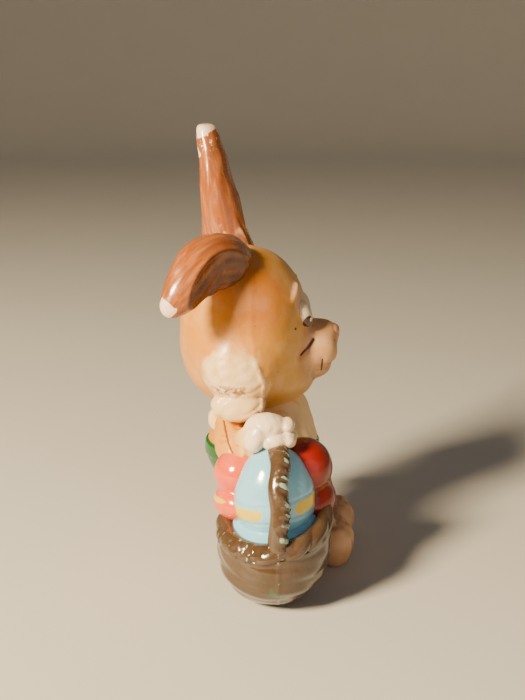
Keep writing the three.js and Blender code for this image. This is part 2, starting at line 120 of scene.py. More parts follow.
def line_distance(points, path):
    """Distance from an open line through the given points."""
    nearest = np.full(len(points), np.inf)
    for start, end in zip(path[:-1], path[1:]):
        start, along = np.array(start, float), np.array(end, float) - np.array(start, float)
        t = np.clip((points - start) @ along / (along @ along), 0, 1)
        nearest = np.minimum(nearest, np.linalg.norm(points - start - t[:, None] * along, axis=1))
    return nearest


def ripple(points, scale, seed=0.0):
    """A soft unevenness between -1 and 1, with bumps about scale millimetres across."""
    p = points / scale * 2.1 + seed
    x, y, z = p[:, 0], p[:, 1], p[:, 2]
    sway = np.sin(y * 0.7 + 1.3 * np.sin(z * 0.6 + seed))
    first = np.sin(x + 1.7 * sway) * np.cos(y * 1.1 + 0.8 * z)
    second = np.sin(z * 1.3 - 0.9 * x + 2.2 * sway)
    return (first + second) / 2


def set_attribute(mesh, name, values):
    """Store one number for each vertex, for a material to read."""
    layer = mesh.attributes.get(name) or mesh.attributes.new(name, "FLOAT", "POINT")
    layer.data.foreach_set("value", np.asarray(values, np.float32))


def mesh_points(mesh):
    """A mesh's vertices as millimetres from the datum."""
    flat = np.empty(len(mesh.vertices) * 3)
    mesh.vertices.foreach_get("co", flat)
    return flat.reshape(-1, 3) / MM - datum


def put_points(mesh, points):
    """Move a mesh's vertices to places given as millimetres from the datum."""
    mesh.vertices.foreach_set("co", ((points + datum) * MM).ravel())
    mesh.update()


def relaxed(mesh, points, rounds):
    """The points after each moves halfway to the middle of its neighbours, some rounds over."""
    ends = np.empty(len(mesh.edges) * 2, np.int32)
    mesh.edges.foreach_get("vertices", ends)
    a, b = ends[0::2], ends[1::2]
    count = np.bincount(ends, minlength=len(points))[:, None]
    for _ in range(rounds):
        total = np.zeros_like(points)
        np.add.at(total, a, points[b])
        np.add.at(total, b, points[a])
        points = (points + total / count) / 2
    return points


def settle(points, surface, rounds=3, most=0.6):
    """Move points onto a surface along its slope, by at most so many millimetres a round."""
    step = 0.02
    for _ in range(rounds):
        here = surface(points)
        slope = np.stack([
            surface(points + step * axis) - surface(points - step * axis) for axis in np.eye(3)
        ], axis=1) / (2 * step)
        steepness = np.maximum((slope ** 2).sum(axis=1), 0.05)
        move = -(np.clip(here, -most, most) / steepness)[:, None] * slope
        points = points + move
    return points


def finished(name, mesh, material, replaced):
    """Make a mesh a piece of the figurine: smooth, painted, and standing for its CAD nodes."""
    for polygon in mesh.polygons:
        polygon.use_smooth = True
    mesh.materials.clear()
    mesh.materials.append(material)
    piece = bpy.data.objects.new("painted_" + name, mesh)
    bpy.context.collection.objects.link(piece)
    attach(piece, "root")
    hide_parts(*replaced)
    return piece


RELIEF_STEP = 0.3  # the most that a round of carving moves the surface


def moulding(name, lumps, grain, hollows=(), relief=None):
    """Model one piece from lumps: join and skin them at the given grain, then smooth the skin onto them."""
    shape = bmesh.new()
    for centre, radii, rotation, _ in lumps:
        scale = np.diag(radii * MM)
        place = Matrix.Translation(Vector((centre + datum) * MM)) @ Matrix(rotation @ scale).to_4x4()
        bmesh.ops.create_icosphere(shape, subdivisions=4, radius=1.0, matrix=place)
    rough = bpy.data.meshes.new(name + "_rough")
    shape.to_mesh(rough)
    shape.free()
    body = bpy.data.objects.new(name + "_rough", rough)
    bpy.context.collection.objects.link(body)
    skin = body.modifiers.new("skin", "REMESH")
    skin.mode = "VOXEL"
    skin.voxel_size = grain * MM
    mesh = bpy.data.meshes.new_from_object(body.evaluated_get(bpy.context.evaluated_depsgraph_get()))
    mesh.name = name
    bpy.data.objects.remove(body)
    bpy.data.meshes.remove(rough)

    def surface(points):
        return clay(points, lumps, hollows)

    def carved(points):
        return surface(points) - relief(points)

    points = settle(mesh_points(mesh), surface)
    points = settle(relaxed(mesh, points, 2), surface, 2)
    if relief:
        points = settle(points, carved, 2, RELIEF_STEP)
    put_points(mesh, points)
    set_attribute(mesh, "crease", creases(points, lumps))
    return mesh, points


def srgb(red, green, blue):
    """A colour as paint makers give it, from 0 to 255, in the renderer's linear values."""
    parts = [channel / 255 for channel in (red, green, blue)]
    return tuple(p / 12.92 if p <= 0.04045 else ((p + 0.055) / 1.055) ** 2.4 for p in parts) + (1.0,)


PLASTIC = srgb(248, 216, 184)
CREAM = srgb(246, 206, 148)
OCHRE = srgb(206, 132, 4)
OCHRE_PALE = srgb(228, 164, 60)
GRIME = srgb(92, 62, 38)
SCORED_LINE = srgb(84, 34, 16)


def new_group(name, inputs, outputs):
    """A shader node group with its named sockets, and its two end nodes."""
    group = bpy.data.node_groups.new(name, "ShaderNodeTree")
    for label, kind, value in inputs:
        socket = group.interface.new_socket(label, in_out="INPUT", socket_type="NodeSocket" + kind)
        socket.default_value = value
    for label, kind in outputs:
        group.interface.new_socket(label, in_out="OUTPUT", socket_type="NodeSocket" + kind)
    return group, group.nodes.new("NodeGroupInput"), group.nodes.new("NodeGroupOutput")


def add_node(tree, kind, links=None, **settings):
    """Add a shader node. Settings starting with in_ set its numbered sockets, and links feeds them."""
    node = tree.nodes.new("ShaderNode" + kind)
    for key, value in settings.items():
        if key.startswith("in_"):
            node.inputs[int(key[3:])].default_value = value
        else:
            setattr(node, key, value)
    for socket, source in (links or {}).items():
        tree.links.new(source, node.inputs[socket])
    return node


def add_noise(tree, place, scale, detail=3.0, roughness=0.55):
    """Noise on the piece's own coordinates, with lumps about 1/scale of a metre across."""
    node = add_node(tree, "TexNoise", {"Vector": place})
    node.inputs["Scale"].default_value = scale
    node.inputs["Detail"].default_value = detail
    node.inputs["Roughness"].default_value = roughness
    return node.outputs["Fac"]


def add_math(tree, operation, *sources):
    """A math node fed by sockets or plain numbers."""
    node = tree.nodes.new("ShaderNodeMath")
    node.operation = operation
    for socket, source in zip(node.inputs, sources):
        if isinstance(source, (int, float)):
            socket.default_value = source
        else:
            tree.links.new(source, socket)
    return node.outputs[0]


def add_ramp(tree, value, low, high, to_low=0.0, to_high=1.0):
    """A value rescaled from low..high to to_low..to_high, held at the ends."""
    node = tree.nodes.new("ShaderNodeMapRange")
    node.interpolation_type = "SMOOTHSTEP"
    tree.links.new(value, node.inputs["Value"])
    for socket, number in zip(("From Min", "From Max", "To Min", "To Max"), (low, high, to_low, to_high)):
        if isinstance(number, (int, float)):
            node.inputs[socket].default_value = number
        else:
            tree.links.new(number, node.inputs[socket])
    return node.outputs["Result"]


def add_mix(tree, share, first, second):
    """One colour over another: first where share is 0, second where it is 1."""
    node = tree.nodes.new("ShaderNodeMix")
    node.data_type = "RGBA"
    for socket, source in zip((node.inputs[0], node.inputs[6], node.inputs[7]), (share, first, second)):
        if isinstance(source, bpy.types.NodeSocket):
            tree.links.new(source, socket)
        else:
            socket.default_value = source
    return node.outputs[2]


# How finely each unevenness of the hand paint is spread: its lumps per metre.
BRUSHED_EDGE = 420.0
BLOTCHES = 230.0
GRAIN = 1500.0
CHIPS = 900.0
SPECKS = 2300.0
SPECKLED_AREAS = 160.0
GLOSS_PATCHES = 340.0
PAINT_LUMPS = 620.0


def edge_group():
    """Hand-painted edge: turns a distance in millimetres into a mask with a brushed, uneven border."""
    group, start, end = new_group(
        "Painted edge",
        [("Distance", "Float", 0.0), ("Softness", "Float", 0.1), ("Wander", "Float", 0.5)],
        [("Mask", "Float")],
    )
    place = group.nodes.new("ShaderNodeTexCoord").outputs["Object"]
    drift = add_math(group, "SUBTRACT", add_noise(group, place, BRUSHED_EDGE, 4.0), 0.5)
    moved = add_math(group, "ADD", start.outputs["Distance"],
                     add_math(group, "MULTIPLY", drift, start.outputs["Wander"]))
    low = add_math(group, "MULTIPLY", start.outputs["Softness"], -1.0)
    mask = add_ramp(group, moved, low, start.outputs["Softness"])
    group.links.new(mask, end.inputs["Mask"])
    return group


def ageing_group():
    """Old hand paint: blotches, grime in the creases, chips on the high spots, specks and brush marks."""
    group, start, end = new_group(
        "Aged paint",
        [("Paint", "Color", OCHRE), ("Second tone", "Color", OCHRE_PALE), ("Under", "Color", PLASTIC),
         ("Grime", "Color", GRIME), ("Crease", "Float", 0.0), ("Wear", "Float", 0.0),
         ("Roughness", "Float", 0.35), ("Grime strength", "Float", 0.5), ("Blotch", "Float", 0.5)],
        [("Color", "Color"), ("Roughness", "Float"), ("Height", "Float")],
    )
    place = group.nodes.new("ShaderNodeTexCoord").outputs["Object"]
    blotch = add_ramp(group, add_noise(group, place, BLOTCHES, 5.0, 0.6), 0.4, 0.66)
    blotch = add_math(group, "MULTIPLY", blotch, start.outputs["Blotch"])
    tone = add_mix(group, blotch, start.outputs["Paint"], start.outputs["Second tone"])
    fine = add_noise(group, place, GRAIN, 4.0, 0.65)
    dirt = add_math(group, "MULTIPLY", add_ramp(group, start.outputs["Crease"], 0.3, 1.0),
                    add_ramp(group, fine, 0.34, 0.6))
    dirt = add_math(group, "MULTIPLY", dirt, start.outputs["Grime strength"])
    tone = add_mix(group, dirt, tone, start.outputs["Grime"])
    chipping = add_math(group, "SUBTRACT", add_noise(group, place, CHIPS, 6.0, 0.7), 0.5)
    chipping = add_math(group, "MULTIPLY", chipping, 1.3)
    bare = add_ramp(group, add_math(group, "ADD", start.outputs["Wear"], chipping), 0.5, 0.58)
    tone = add_mix(group, bare, tone, start.outputs["Under"])
    speck = add_ramp(group, add_noise(group, place, SPECKS, 1.0), 0.735, 0.76)
    speckled = add_ramp(group, add_noise(group, place, SPECKLED_AREAS, 1.0), 0.55, 0.6)
    speck = add_math(group, "MULTIPLY", add_math(group, "MULTIPLY", speck, speckled), 0.75)
    tone = add_mix(group, speck, tone, start.outputs["Grime"])
    group.links.new(tone, end.inputs["Color"])
    gloss = add_ramp(group, add_noise(group, place, GLOSS_PATCHES, 4.0), 0.3, 0.7, -0.09, 0.09)
    rough = add_math(group, "ADD", start.outputs["Roughness"], gloss)
    rough = add_math(group, "ADD", rough, add_math(group, "MULTIPLY", bare, 0.18))
    rough = add_math(group, "ADD", rough, add_math(group, "MULTIPLY", dirt, 0.3))
    group.links.new(add_math(group, "MAXIMUM", rough, 0.08), end.inputs["Roughness"])
    brush = add_math(group, "MULTIPLY", fine, 0.25)
    lump_height = add_math(group, "ADD", add_noise(group, place, PAINT_LUMPS, 2.0), brush)
    height = add_math(group, "SUBTRACT", lump_height, add_math(group, "MULTIPLY", bare, 0.5))
    group.links.new(height, end.inputs["Height"])
    return group


PAINTED_EDGE = edge_group()
AGED_PAINT = ageing_group()
BRUSH_DEPTH = 0.4
VARNISH_IOR = 1.5


class Paint:
    """A paint job built up in layers: a base coat, then patches of other colours, then age and varnish."""

    def __init__(self, name, base):
        self.material = bpy.data.materials.new(name)
        self.material.use_nodes = True
        self.tree = self.material.node_tree
        self.tree.nodes.clear()
        self.tone = base

    def attribute(self, name):
        node = self.tree.nodes.new("ShaderNodeAttribute")
        node.attribute_name = name
        return node.outputs["Fac"]

    def patch(self, attribute, colour, softness=0.12, wander=0.6):
        """Paint a colour where the attribute, a distance in millimetres, is above 0."""
        edge = self.tree.nodes.new("ShaderNodeGroup")
        edge.node_tree = PAINTED_EDGE
        self.tree.links.new(self.attribute(attribute), edge.inputs["Distance"])
        edge.inputs["Softness"].default_value = softness
        edge.inputs["Wander"].default_value = wander
        self.tone = add_mix(self.tree, edge.outputs["Mask"], self.tone, colour)

    def age(self, roughness, grime=0.5, blotch=0.4, under=PLASTIC, bump=0.12, coat=0.3, coat_roughness=0.12,
            paler=1.12):
        """Add wear, grime and gloss, and finish the material."""
        tree = self.tree
        aged = tree.nodes.new("ShaderNodeGroup")
        aged.node_tree = AGED_PAINT
        if isinstance(self.tone, bpy.types.NodeSocket):
            tree.links.new(self.tone, aged.inputs["Paint"])
            lighter = add_node(tree, "HueSaturation", {4: self.tone}, in_1=0.86, in_2=paler)
            tree.links.new(lighter.outputs[0], aged.inputs["Second tone"])
        else:
            lighter = [min(1.0, channel * paler) for channel in self.tone[:3]]
            aged.inputs["Paint"].default_value = self.tone
            aged.inputs["Second tone"].default_value = (*lighter, 1.0)
        aged.inputs["Under"].default_value = under
        aged.inputs["Roughness"].default_value = roughness
        aged.inputs["Grime strength"].default_value = grime
        aged.inputs["Blotch"].default_value = blotch
        tree.links.new(self.attribute("crease"), aged.inputs["Crease"])
        tree.links.new(self.attribute("wear"), aged.inputs["Wear"])
        shader = tree.nodes.new("ShaderNodeBsdfPrincipled")
        tree.links.new(aged.outputs["Color"], shader.inputs["Base Color"])
        tree.links.new(aged.outputs["Roughness"], shader.inputs["Roughness"])
        relief = tree.nodes.new("ShaderNodeBump")
        relief.inputs["Strength"].default_value = bump
        relief.inputs["Distance"].default_value = BRUSH_DEPTH * MM
        tree.links.new(aged.outputs["Height"], relief.inputs["Height"])
        tree.links.new(relief.outputs["Normal"], shader.inputs["Normal"])
        shader.inputs["Coat Weight"].default_value = coat
        shader.inputs["Coat Roughness"].default_value = coat_roughness
        shader.inputs["IOR"].default_value = VARNISH_IOR
        out = tree.nodes.new("ShaderNodeOutputMaterial")
        tree.links.new(shader.outputs[0], out.inputs[0])
        return self.material


def both_sides(*lumps):
    """The given lumps and their mirrored copies."""
    return [each for one in lumps for each in (one, mirrored(one))]


cheek_tufts = both_sides(
    lump((-10.8, 4.0, 37.4), (3.3, 5.2, 4.7), soft=2.6),
    lump((-10.9, 4.1, 31.7), (3.2, 4.6, 2.9), soft=0.7),
)
muzzle_pads = both_sides(lump((-2.5, -8.6, 39.4), (3.1, 4.55, 3.9), soft=1.4))
muzzle_bridge = lump((0, -8.8, 41.4), (3.2, 4.4, 2.6), soft=1.6)
nose_base = lump((0, -11.0, 41.4), (2.4, 2.3, 2.5), soft=1.4)
lower_lip = lump((0, -7.9, 36.0), (4.5, 4.3, 2.5), soft=0.7)
brow_ridges = both_sides(lump((-5.4, -5.5, 50.1), (2.3, 0.55, 0.55), (0, -33, -13), soft=0.5))
head_lumps = [
    lump((0, 3.2, 45.3), (12.2, 10.9, 12.0)),
    lump((0, 3.0, 38.3), (12.6, 10.7, 9.9), soft=5.0),
    lump((0, -2.0, 34.2), (8.6, 7.2, 4.8), soft=3.0),
    *cheek_tufts, *muzzle_pads, muzzle_bridge, nose_base, lower_lip, *brow_ridges,
]
eye_sockets = both_sides(lump((-4.3, -8.5, 46.1), (2.0, 1.5, 2.8), (-18, 0, -18), soft=0.8))
mouth_slot = lump((0, -12.4, 37.3), (4.6, 4.2, 0.36), (-8, 0, 0), soft=0.35)
# The mould's parting line down the side of the head: heights, and how far behind the datum it is there.
SEAM_HEIGHTS = (31, 36, 40.3, 46)
SEAM_PLACES = (0.1, -0.4, 1.25, 1.9)
SEAM_RISE = 0.34
SEAM_WIDTH = 0.42
SEAM_FADES = (42, 38)  # heights between which the ridge comes up
# Lines scored on the side of the face: (how far behind the datum, height) of their corners.
FOLD = [(-8.8, 41.6), (-7.9, 40.4), (-6.65, 39.3)]
MOUTH_CORNER = [(-10.4, 38.2), (-10.3, 35.9)]
FRECKLE = [(-5.6, 44.3), (-5.6, 44.4)]


FRONT_HALF_WIDTH = 2.6


def side_distance(points, path):
    """Distance from a line drawn on both sides, seen from the side. The middle of the front is kept clear."""
    flat = points * np.array([0, 1, 1])
    in_front = np.abs(points[:, 0]) < FRONT_HALF_WIDTH
    return line_distance(flat, [(0, *corner) for corner in path]) + 9.0 * in_front


def seam_ridge(points, ahead, height, width):
    """The raised line that a mould leaves where its halves met."""
    return height * np.exp(-((points[:, 1] - ahead) / width) ** 2)


def head_seam(points):
    """How far behind the datum the parting line is at each point's height."""
    return np.interp(points[:, 2], SEAM_HEIGHTS, SEAM_PLACES)


def head_relief(points):
    """What is raised and cut on the head: seam, fold, parted lip, fur and the unevenness of the cast."""
    x, y, z = points.T
    seam = seam_ridge(points, head_seam(points), SEAM_RISE, SEAM_WIDTH)
    seam *= 0.2 + 0.8 * ramp(z, *SEAM_FADES) * (np.abs(x) > 5)
    fold = -0.4 * np.exp(-(side_distance(points, FOLD) / 0.6) ** 2)
    fold -= 0.15 * np.exp(-(side_distance(points, MOUTH_CORNER) / 0.5) ** 2)
    parting = -0.35 * np.exp(-(x / 0.22) ** 2) * ramp(y, -9.5, -10.5)
    parting *= ramp(z, 40.0, 39.0) * ramp(z, 36.4, 37)
    tuft = ramp(-np.min([distance(points, one) for one in cheek_tufts], axis=0), -0.9, 0.2)
    fur = 0.1 * tuft * np.sin(2.6 * z + 1.1 * y + 1.6 * np.sin(0.8 * y) + 3.0 * ripple(points, 3.4))
    dents = 0.12 * ripple(points, 7.0, 2.0) + 0.05 * ripple(points, 3.0, 4.0)
    return seam + fold + parting + fur + dents


head_mesh, head_points = moulding(
    "head", head_lumps, 0.3, [*eye_sockets, mouth_slot], head_relief)
x, y, z = head_points.T
mouth_lumps = [*muzzle_pads, muzzle_bridge, nose_base, lower_lip]
pads, tufts, ridges, sockets = [
    np.min([distance(head_points, one) for one in lumps], axis=0)
    for lumps in (mouth_lumps, cheek_tufts, brow_ridges, eye_sockets)
]
beside_seam = y - head_seam(head_points)
EYE_RING = 3.0  # how far the cream skin reaches round each eye
around_eye = np.hypot(np.abs(x) - 4.2, z - 48.6) - EYE_RING + 9.0 * (y > 0)
# Painted shade: the ochre round each ear's root is darkened to a reddish brown, standing for the flopped
# ear's shadow on the head.
ear_shadow_zone = lump((-10.5, 1.0, 51.0), (5.0, 6.5, 6.0), (35, 0, 0))
on_one_side = np.stack([-np.abs(x), y, z], axis=1)
set_attribute(head_mesh, "muzzle", 1.9 - pads)
set_attribute(head_mesh, "tuft", np.minimum(0.75 - tufts, beside_seam + 0.5))
set_attribute(head_mesh, "painted_ear_shadow", ramp(-distance(on_one_side, ear_shadow_zone), -3.0, 2.0))
set_attribute(head_mesh, "eye_skin", np.maximum(-0.1 - ridges, -around_eye))
set_attribute(head_mesh, "fade", ramp(y, 2, -7) * 0.8 + ramp(z, 41, 34) * 0.3 * ramp(z, 26, 30))
set_attribute(head_mesh, "wear", 0.6 * np.exp(-(beside_seam / 0.33) ** 2) * ramp(z, *SEAM_FADES)
              + 0.2 * ramp(sockets, 0.8, 0.2) + 0.22 * ramp(tufts, 0.6, -0.3) * ramp(np.abs(x), 10, 12))
STAIN = (5.4, 34.9)  # how far behind the datum, and how high, the dirt in the cheek tuft lies
set_attribute(head_mesh, "stain", ramp(-np.abs(z - STAIN[1]), -1.7, -0.3) * ramp(-tufts, -1.4, -0.3)
              * ramp(-np.abs(y - STAIN[0]), -4.4, -2.0))

head_paint = Paint("head_paint", OCHRE)
fade = add_math(head_paint.tree, "MULTIPLY", head_paint.attribute("fade"), 0.8)
head_paint.tone = add_mix(head_paint.tree, fade, OCHRE, srgb(228, 170, 78))
# Painted shade: reddish brown mixed into the ochre round the roots of both ears.
painted_ear_shadow = add_math(head_paint.tree, "MULTIPLY", head_paint.attribute("painted_ear_shadow"), 0.6)
head_paint.tone = add_mix(head_paint.tree, painted_ear_shadow, head_paint.tone, srgb(168, 84, 24))
head_paint.patch("tuft", CREAM, 0.7, 2.4)
head_paint.patch("muzzle", srgb(214, 156, 104), 1.6, 2.0)
head_paint.patch("eye_skin", srgb(220, 166, 124), 0.35, 0.5)
tree = head_paint.tree
place = tree.nodes.new("ShaderNodeTexCoord").outputs["Object"]


def scored(paint, corners, half_width, colour):
    """Draw a line on the side of the figurine between two corners given as (behind, height)."""
    tree = paint.tree
    start, end = [Vector(((datum + (0, *corner)) * MM)) for corner in corners]
    run = (end - start) * Vector((0, 1, 1))
    place = tree.nodes.new("ShaderNodeTexCoord").outputs["Object"]
    flat = add_node(tree, "VectorMath", {0: place}, in_1=(0, 1, 1), operation="MULTIPLY")
    offset = add_node(tree, "VectorMath", {0: flat.outputs[0]}, in_1=start * Vector((0, 1, 1)),
                      operation="SUBTRACT")
    share = add_node(tree, "VectorMath", {0: offset.outputs[0]}, in_1=run / run.length_squared,
                     operation="DOT_PRODUCT")
    held = add_node(tree, "Clamp", {0: share.outputs["Value"]})
    along = add_node(tree, "VectorMath", {"Scale": held.outputs[0]}, in_0=run, operation="SCALE")
    gap = add_node(tree, "VectorMath", {0: offset.outputs[0], 1: along.outputs[0]}, operation="DISTANCE")
    line = add_ramp(tree, gap.outputs["Value"], half_width * MM, half_width * 0.5 * MM)
    paint.tone = add_mix(tree, line, paint.tone, colour)


for corners, half_width in ((FOLD[:2], 0.36), (FOLD[1:], 0.3), (MOUTH_CORNER, 0.2), (FRECKLE, 0.22)):
    scored(head_paint, corners, half_width, SCORED_LINE)
flecks = add_ramp(tree, add_noise(tree, place, 1000.0, 5.0, 0.7), 0.46, 0.54)
stain = add_math(tree, "MULTIPLY", flecks, head_paint.attribute("stain"))
head_paint.tone = add_mix(tree, add_math(tree, "MULTIPLY", stain, 0.9), head_paint.tone, srgb(132, 92, 48))
finished("head", head_mesh, head_paint.age(0.4, grime=0.4, blotch=0.6, coat=0.18), [
    "head_front_shell", "head_rear_shell", "muzzle", "lower_lip", "brow_right", "brow_left",
    "cheek_tuft_right", "cheek_tuft_left",
])


# ---------------------------------------------------------------- nose, teeth and eyes
# Small knobs moulded with the face and picked out with a fine brush: a pink nose, two front teeth parted
# by a scored line, and oval eyes with a brown pupil that looks ahead and down and a white painted highlight.
nose_mesh, _ = moulding("nose", [
    lump((0, -12.5, 42.3), (1.8, 1.15, 1.15)),
    lump((0, -12.6, 41.3), (0.9, 1.0, 1.0), soft=0.6),
], 0.16)
nose_paint = Paint("nose_paint", srgb(196, 134, 104))
finished("nose", nose_mesh, nose_paint.age(0.25, grime=0.4, coat=0.5), ["nose"])


def tooth_relief(points):
    """The scored line between the two front teeth."""
    return -0.3 * np.exp(-(points[:, 0] / 0.14) ** 2)


teeth_mesh, _ = moulding("front_teeth", both_sides(
    lump((-0.72, -10.6, 36.5), (0.82, 0.75, 1.75), soft=0.25),
), 0.16, relief=tooth_relief)
teeth_paint = Paint("teeth_paint", srgb(250, 243, 228))
finished("front_teeth", teeth_mesh, teeth_paint.age(0.22, grime=0.6, coat=0.5),
         ["front_teeth"])

EYE_LUMP = lump((-4.2, -7.15, 46.1), (1.8, 1.35, 2.5), (-18, 0, -18))
PUPIL = lump((-5.4, -7.8, 44.9), (1.0, 1.0, 1.2), (-18, 0, -40))
# A white dot on each eye: a painted highlight.
PAINTED_GLINT = lump((-5.2, -8.4, 45.3), (0.3, 0.5, 0.36))
for side in ("right", "left"):
    parts = (EYE_LUMP, PUPIL, PAINTED_GLINT)
    eye_lump, pupil, glint = [mirrored(one) for one in parts] if side == "left" else parts
    eye_mesh, eye_points = moulding("eye_" + side, [eye_lump], 0.16)
    set_attribute(eye_mesh, "pupil", -distance(eye_points, pupil))
    set_attribute(eye_mesh, "glint", -distance(eye_points, glint))
    eye_paint = Paint("eye_paint_" + side, srgb(232, 208, 176))
    eye_paint.patch("pupil", srgb(74, 38, 20), 0.05, 0.12)
    eye_paint.patch("glint", srgb(250, 246, 236), 0.04, 0.05)
    finished("eye_" + side, eye_mesh, eye_paint.age(0.14, grime=0.3, blotch=0.1, coat=0.8),
             ["eye_" + side])

# ---------------------------------------------------------------- ears
# Each ear is a solid leaf with a root that plugs into the head, scooped on its inner face. Glossy caramel
# paint is brushed on along its length. The tips have rubbed through to the pinkish plastic.


def bend(start, middle, end, t):
    """A point part of the way along a curve drawn towards its middle point."""
    start, middle, end = (np.array(point, float) for point in (start, middle, end))
    return (1 - t) ** 2 * start + 2 * t * (1 - t) * middle + t ** 2 * end


def strung(route, side, wide, thick, count, soft=1.3, lengthen=1.75):
    """Lumps strung along a route, with half-widths that change evenly from root to tip."""
    stops = np.linspace(0, 1, count)
    centres = np.array([route(t) for t in stops])
    runs = np.gradient(centres, axis=0)
    known = np.linspace(0, 1, len(wide))
    lumps = []
    for t, centre, run in zip(stops, centres, runs):
        spacing = np.linalg.norm(run)
        along = run / spacing
        across = np.array(side, float) - np.dot(side, along) * along
        across /= np.linalg.norm(across)
        rotation = np.stack([across, np.cross(along, across), along], axis=1)
        radii = np.array([np.interp(t, known, wide), np.interp(t, known, thick), spacing * lengthen])
        lumps.append((centre, radii, rotation, soft))
    return lumps


def route_place(points, route, side):
    """For each point: how far along the route it is, from 0 to 1, and its offset to the side and forward."""
    stops = np.linspace(0, 1, 400)
    centres = np.array([route(t) for t in stops])
    runs = np.gradient(centres, axis=0)
    runs /= np.linalg.norm(runs, axis=1)[:, None]
    nearest = np.argmin((centres ** 2).sum(axis=1) - 2 * points @ centres.T, axis=1)
    along = runs[nearest]
    offset = points - centres[nearest]
    across = np.array(side, float) - (along @ np.array(side, float))[:, None] * along
    across /= np.linalg.norm(across, axis=1)[:, None]
    forward = np.cross(along, across)
    t = stops[nearest] + (offset * along).sum(axis=1) / np.linalg.norm(centres[-1] - centres[0])
    return t, (offset * across).sum(axis=1), (offset * forward).sum(axis=1)


def left_route(t):
    """The middle of the upright ear, from its root at 0 to its tip at 1."""
    return bend((5.0, 5.6, 54.0), (5.6, 7.3, 65.0), (6.8, 9.6, 75.8), t)


def right_route(t):
    """The middle of the flopped ear, from its root at 0 to its tip at 1."""
    return bend((-4.6, 4.4, 55.4), (-13.8, 7.8, 58.8), (-17.2, 13.2, 51.9), t)


CARAMEL = srgb(150, 78, 26)
CARAMEL_PALE = srgb(196, 120, 60)
LEFT_SIDE = (1.0, -0.35, 0.0)
RIGHT_SIDE = (-1.0, 0.0, 0.3)


def ear(name, route, side, wide, thick, hollows, scooped_by, bare, fur, inner):
    """Model and paint one ear. The first scooped_by hollows make its inner face, painted inner, which on the
    flopped ear is a dark brown of painted shade; bare is its rubbed tip, and fur is how much its root is
    brushed with pale hairs."""
    lumps = strung(route, side, wide, thick, 9)

    def ear_relief(points):
        """Brushed flutes along the ear and strokes of fur round its root."""
        t, across, forward = route_place(points, route, side)
        flutes = 0.055 * np.sin(3.4 * forward + 2.5 * t + 1.4 * np.sin(9 * t)) * ramp(t, 1.0, 0.85)
        strokes = fur * ramp(t, 0.4, 0.15) * 0.15 * np.sin(5.2 * across + 3.5 * forward + 2.0 * np.sin(6 * t))
        return flutes + strokes + 0.08 * ripple(points, 4.0, 5.0)

    mesh, points = moulding(name, lumps, 0.26, hollows, ear_relief)
    t, across, forward = route_place(points, route, side)
    scooped = np.min([distance(points, one) for one in hollows[:scooped_by]], axis=0)
    set_attribute(mesh, "inner", 0.15 - scooped)
    rubbed = np.min([distance(points, one) for one in bare], axis=0)
    rubbed = rubbed + 0.7 * ripple(points, 1.8, 2.0)
    set_attribute(mesh, "wear", 0.95 * ramp(rubbed, 0.5, -0.7) + ramp(t, 0.55, 0.9) * (0.2 + 0.21 * fur))
    set_attribute(mesh, "tufts", fur * np.sin(6.2 * across + 4.5 * forward + 2.0 * np.sin(6 * t)) * 0.4 - 0.3
                  - ramp(t, 0.2, 0.4))
    for label, values in (("along", t), ("across", across), ("forward", forward)):
        set_attribute(mesh, label, values)
    paint = Paint(name + "_paint", CARAMEL)
    tree = paint.tree
    brushed = tree.nodes.new("ShaderNodeCombineXYZ")
    for socket, label in zip(brushed.inputs, ("across", "forward", "along")):
        tree.links.new(paint.attribute(label), socket)
    streak = add_ramp(tree, add_noise(tree, brushed.outputs[0], 1.6, 4.0), 0.42, 0.66)
    paint.tone = add_mix(tree, add_math(tree, "MULTIPLY", streak, 0.5), CARAMEL, CARAMEL_PALE)
    paint.patch("inner", inner, 0.25, 0.6)
    paint.patch("tufts", srgb(226, 172, 116), 0.12, 0.3)
    finished(name, mesh, paint.age(0.26, grime=0.5, blotch=0.25, coat=0.55, under=srgb(246, 212, 190)),
             [name])


ear("ear_left", left_route, LEFT_SIDE,
    (3.6, 4.2, 4.4, 4.0, 3.1, 2.1), (4.9, 4.3, 3.5, 2.6, 1.9, 1.5), [
        lump((5.6, 2.2, 62.0), (2.6, 1.9, 6.5), (-7, 3, 0), soft=0.8),
        lump((6.2, 4.8, 69.0), (1.7, 1.0, 4.0), (-9, 4, 0), soft=0.8),
        lump((5.0, 5.0, 177.4), (100.0, 100.0, 100.0), soft=1.0),
    ], 2, [
        lump((6.6, 11.2, 77.4), (3.2, 2.6, 2.9), (24, 0, 0)),
        lump((6.0, 11.9, 73.5), (3.0, 0.9, 4.2), (-6, 0, 0)),
    ], 1.0, srgb(172, 98, 46))
# The flopped ear's inner face is painted a dark brown: painted shade where it faces away from the lamp.
ear("ear_right", right_route, RIGHT_SIDE, (2.8, 3.3, 3.5, 3.3, 2.8, 2.0), (3.1, 4.1, 4.9, 5.1, 4.2, 2.6),
    [lump((-31.9, -15.6, 48.2), (30.0, 30.0, 30.0), soft=0.35)], 1,
    [lump((-19.4, 15.4, 50.2), (2.2, 1.3, 1.8), (-30, 0, 0))], 0.0, srgb(96, 46, 16))

# ---------------------------------------------------------------- collar and chest
# The ruff of fur round the neck and the chest under it, moulded with the body: cream in front and round
# the neck, ochre behind.
COLLAR_TUFTS = 13


def collar_lumps():
    """The ruff's ring and the tufts round it."""
    lumps = [lump((0, 0.9, 26.0), (6.6, 7.2, 2.4))]
    for k in range(COLLAR_TUFTS):
        angle = 2 * pi * k / COLLAR_TUFTS + 0.2
        place = (6.5 * cos(angle), 0.9 + 7.2 * sin(angle), 25.7 + 0.25 * cos(3 * angle))
        lumps.append(lump(place, (1.7, 2.3, 2.15), (0, 0, degrees(angle)), soft=0.8))
    return lumps


def fur_relief(points):
    """Strokes of fur that run down the ruff."""
    x, y, z = points.T
    angle = np.arctan2(y - 0.9, x)
    return 0.11 * np.sin(34 * angle + 1.6 * z + 1.2 * ripple(points, 2.5)) + 0.05 * ripple(points, 1.5, 3.0)


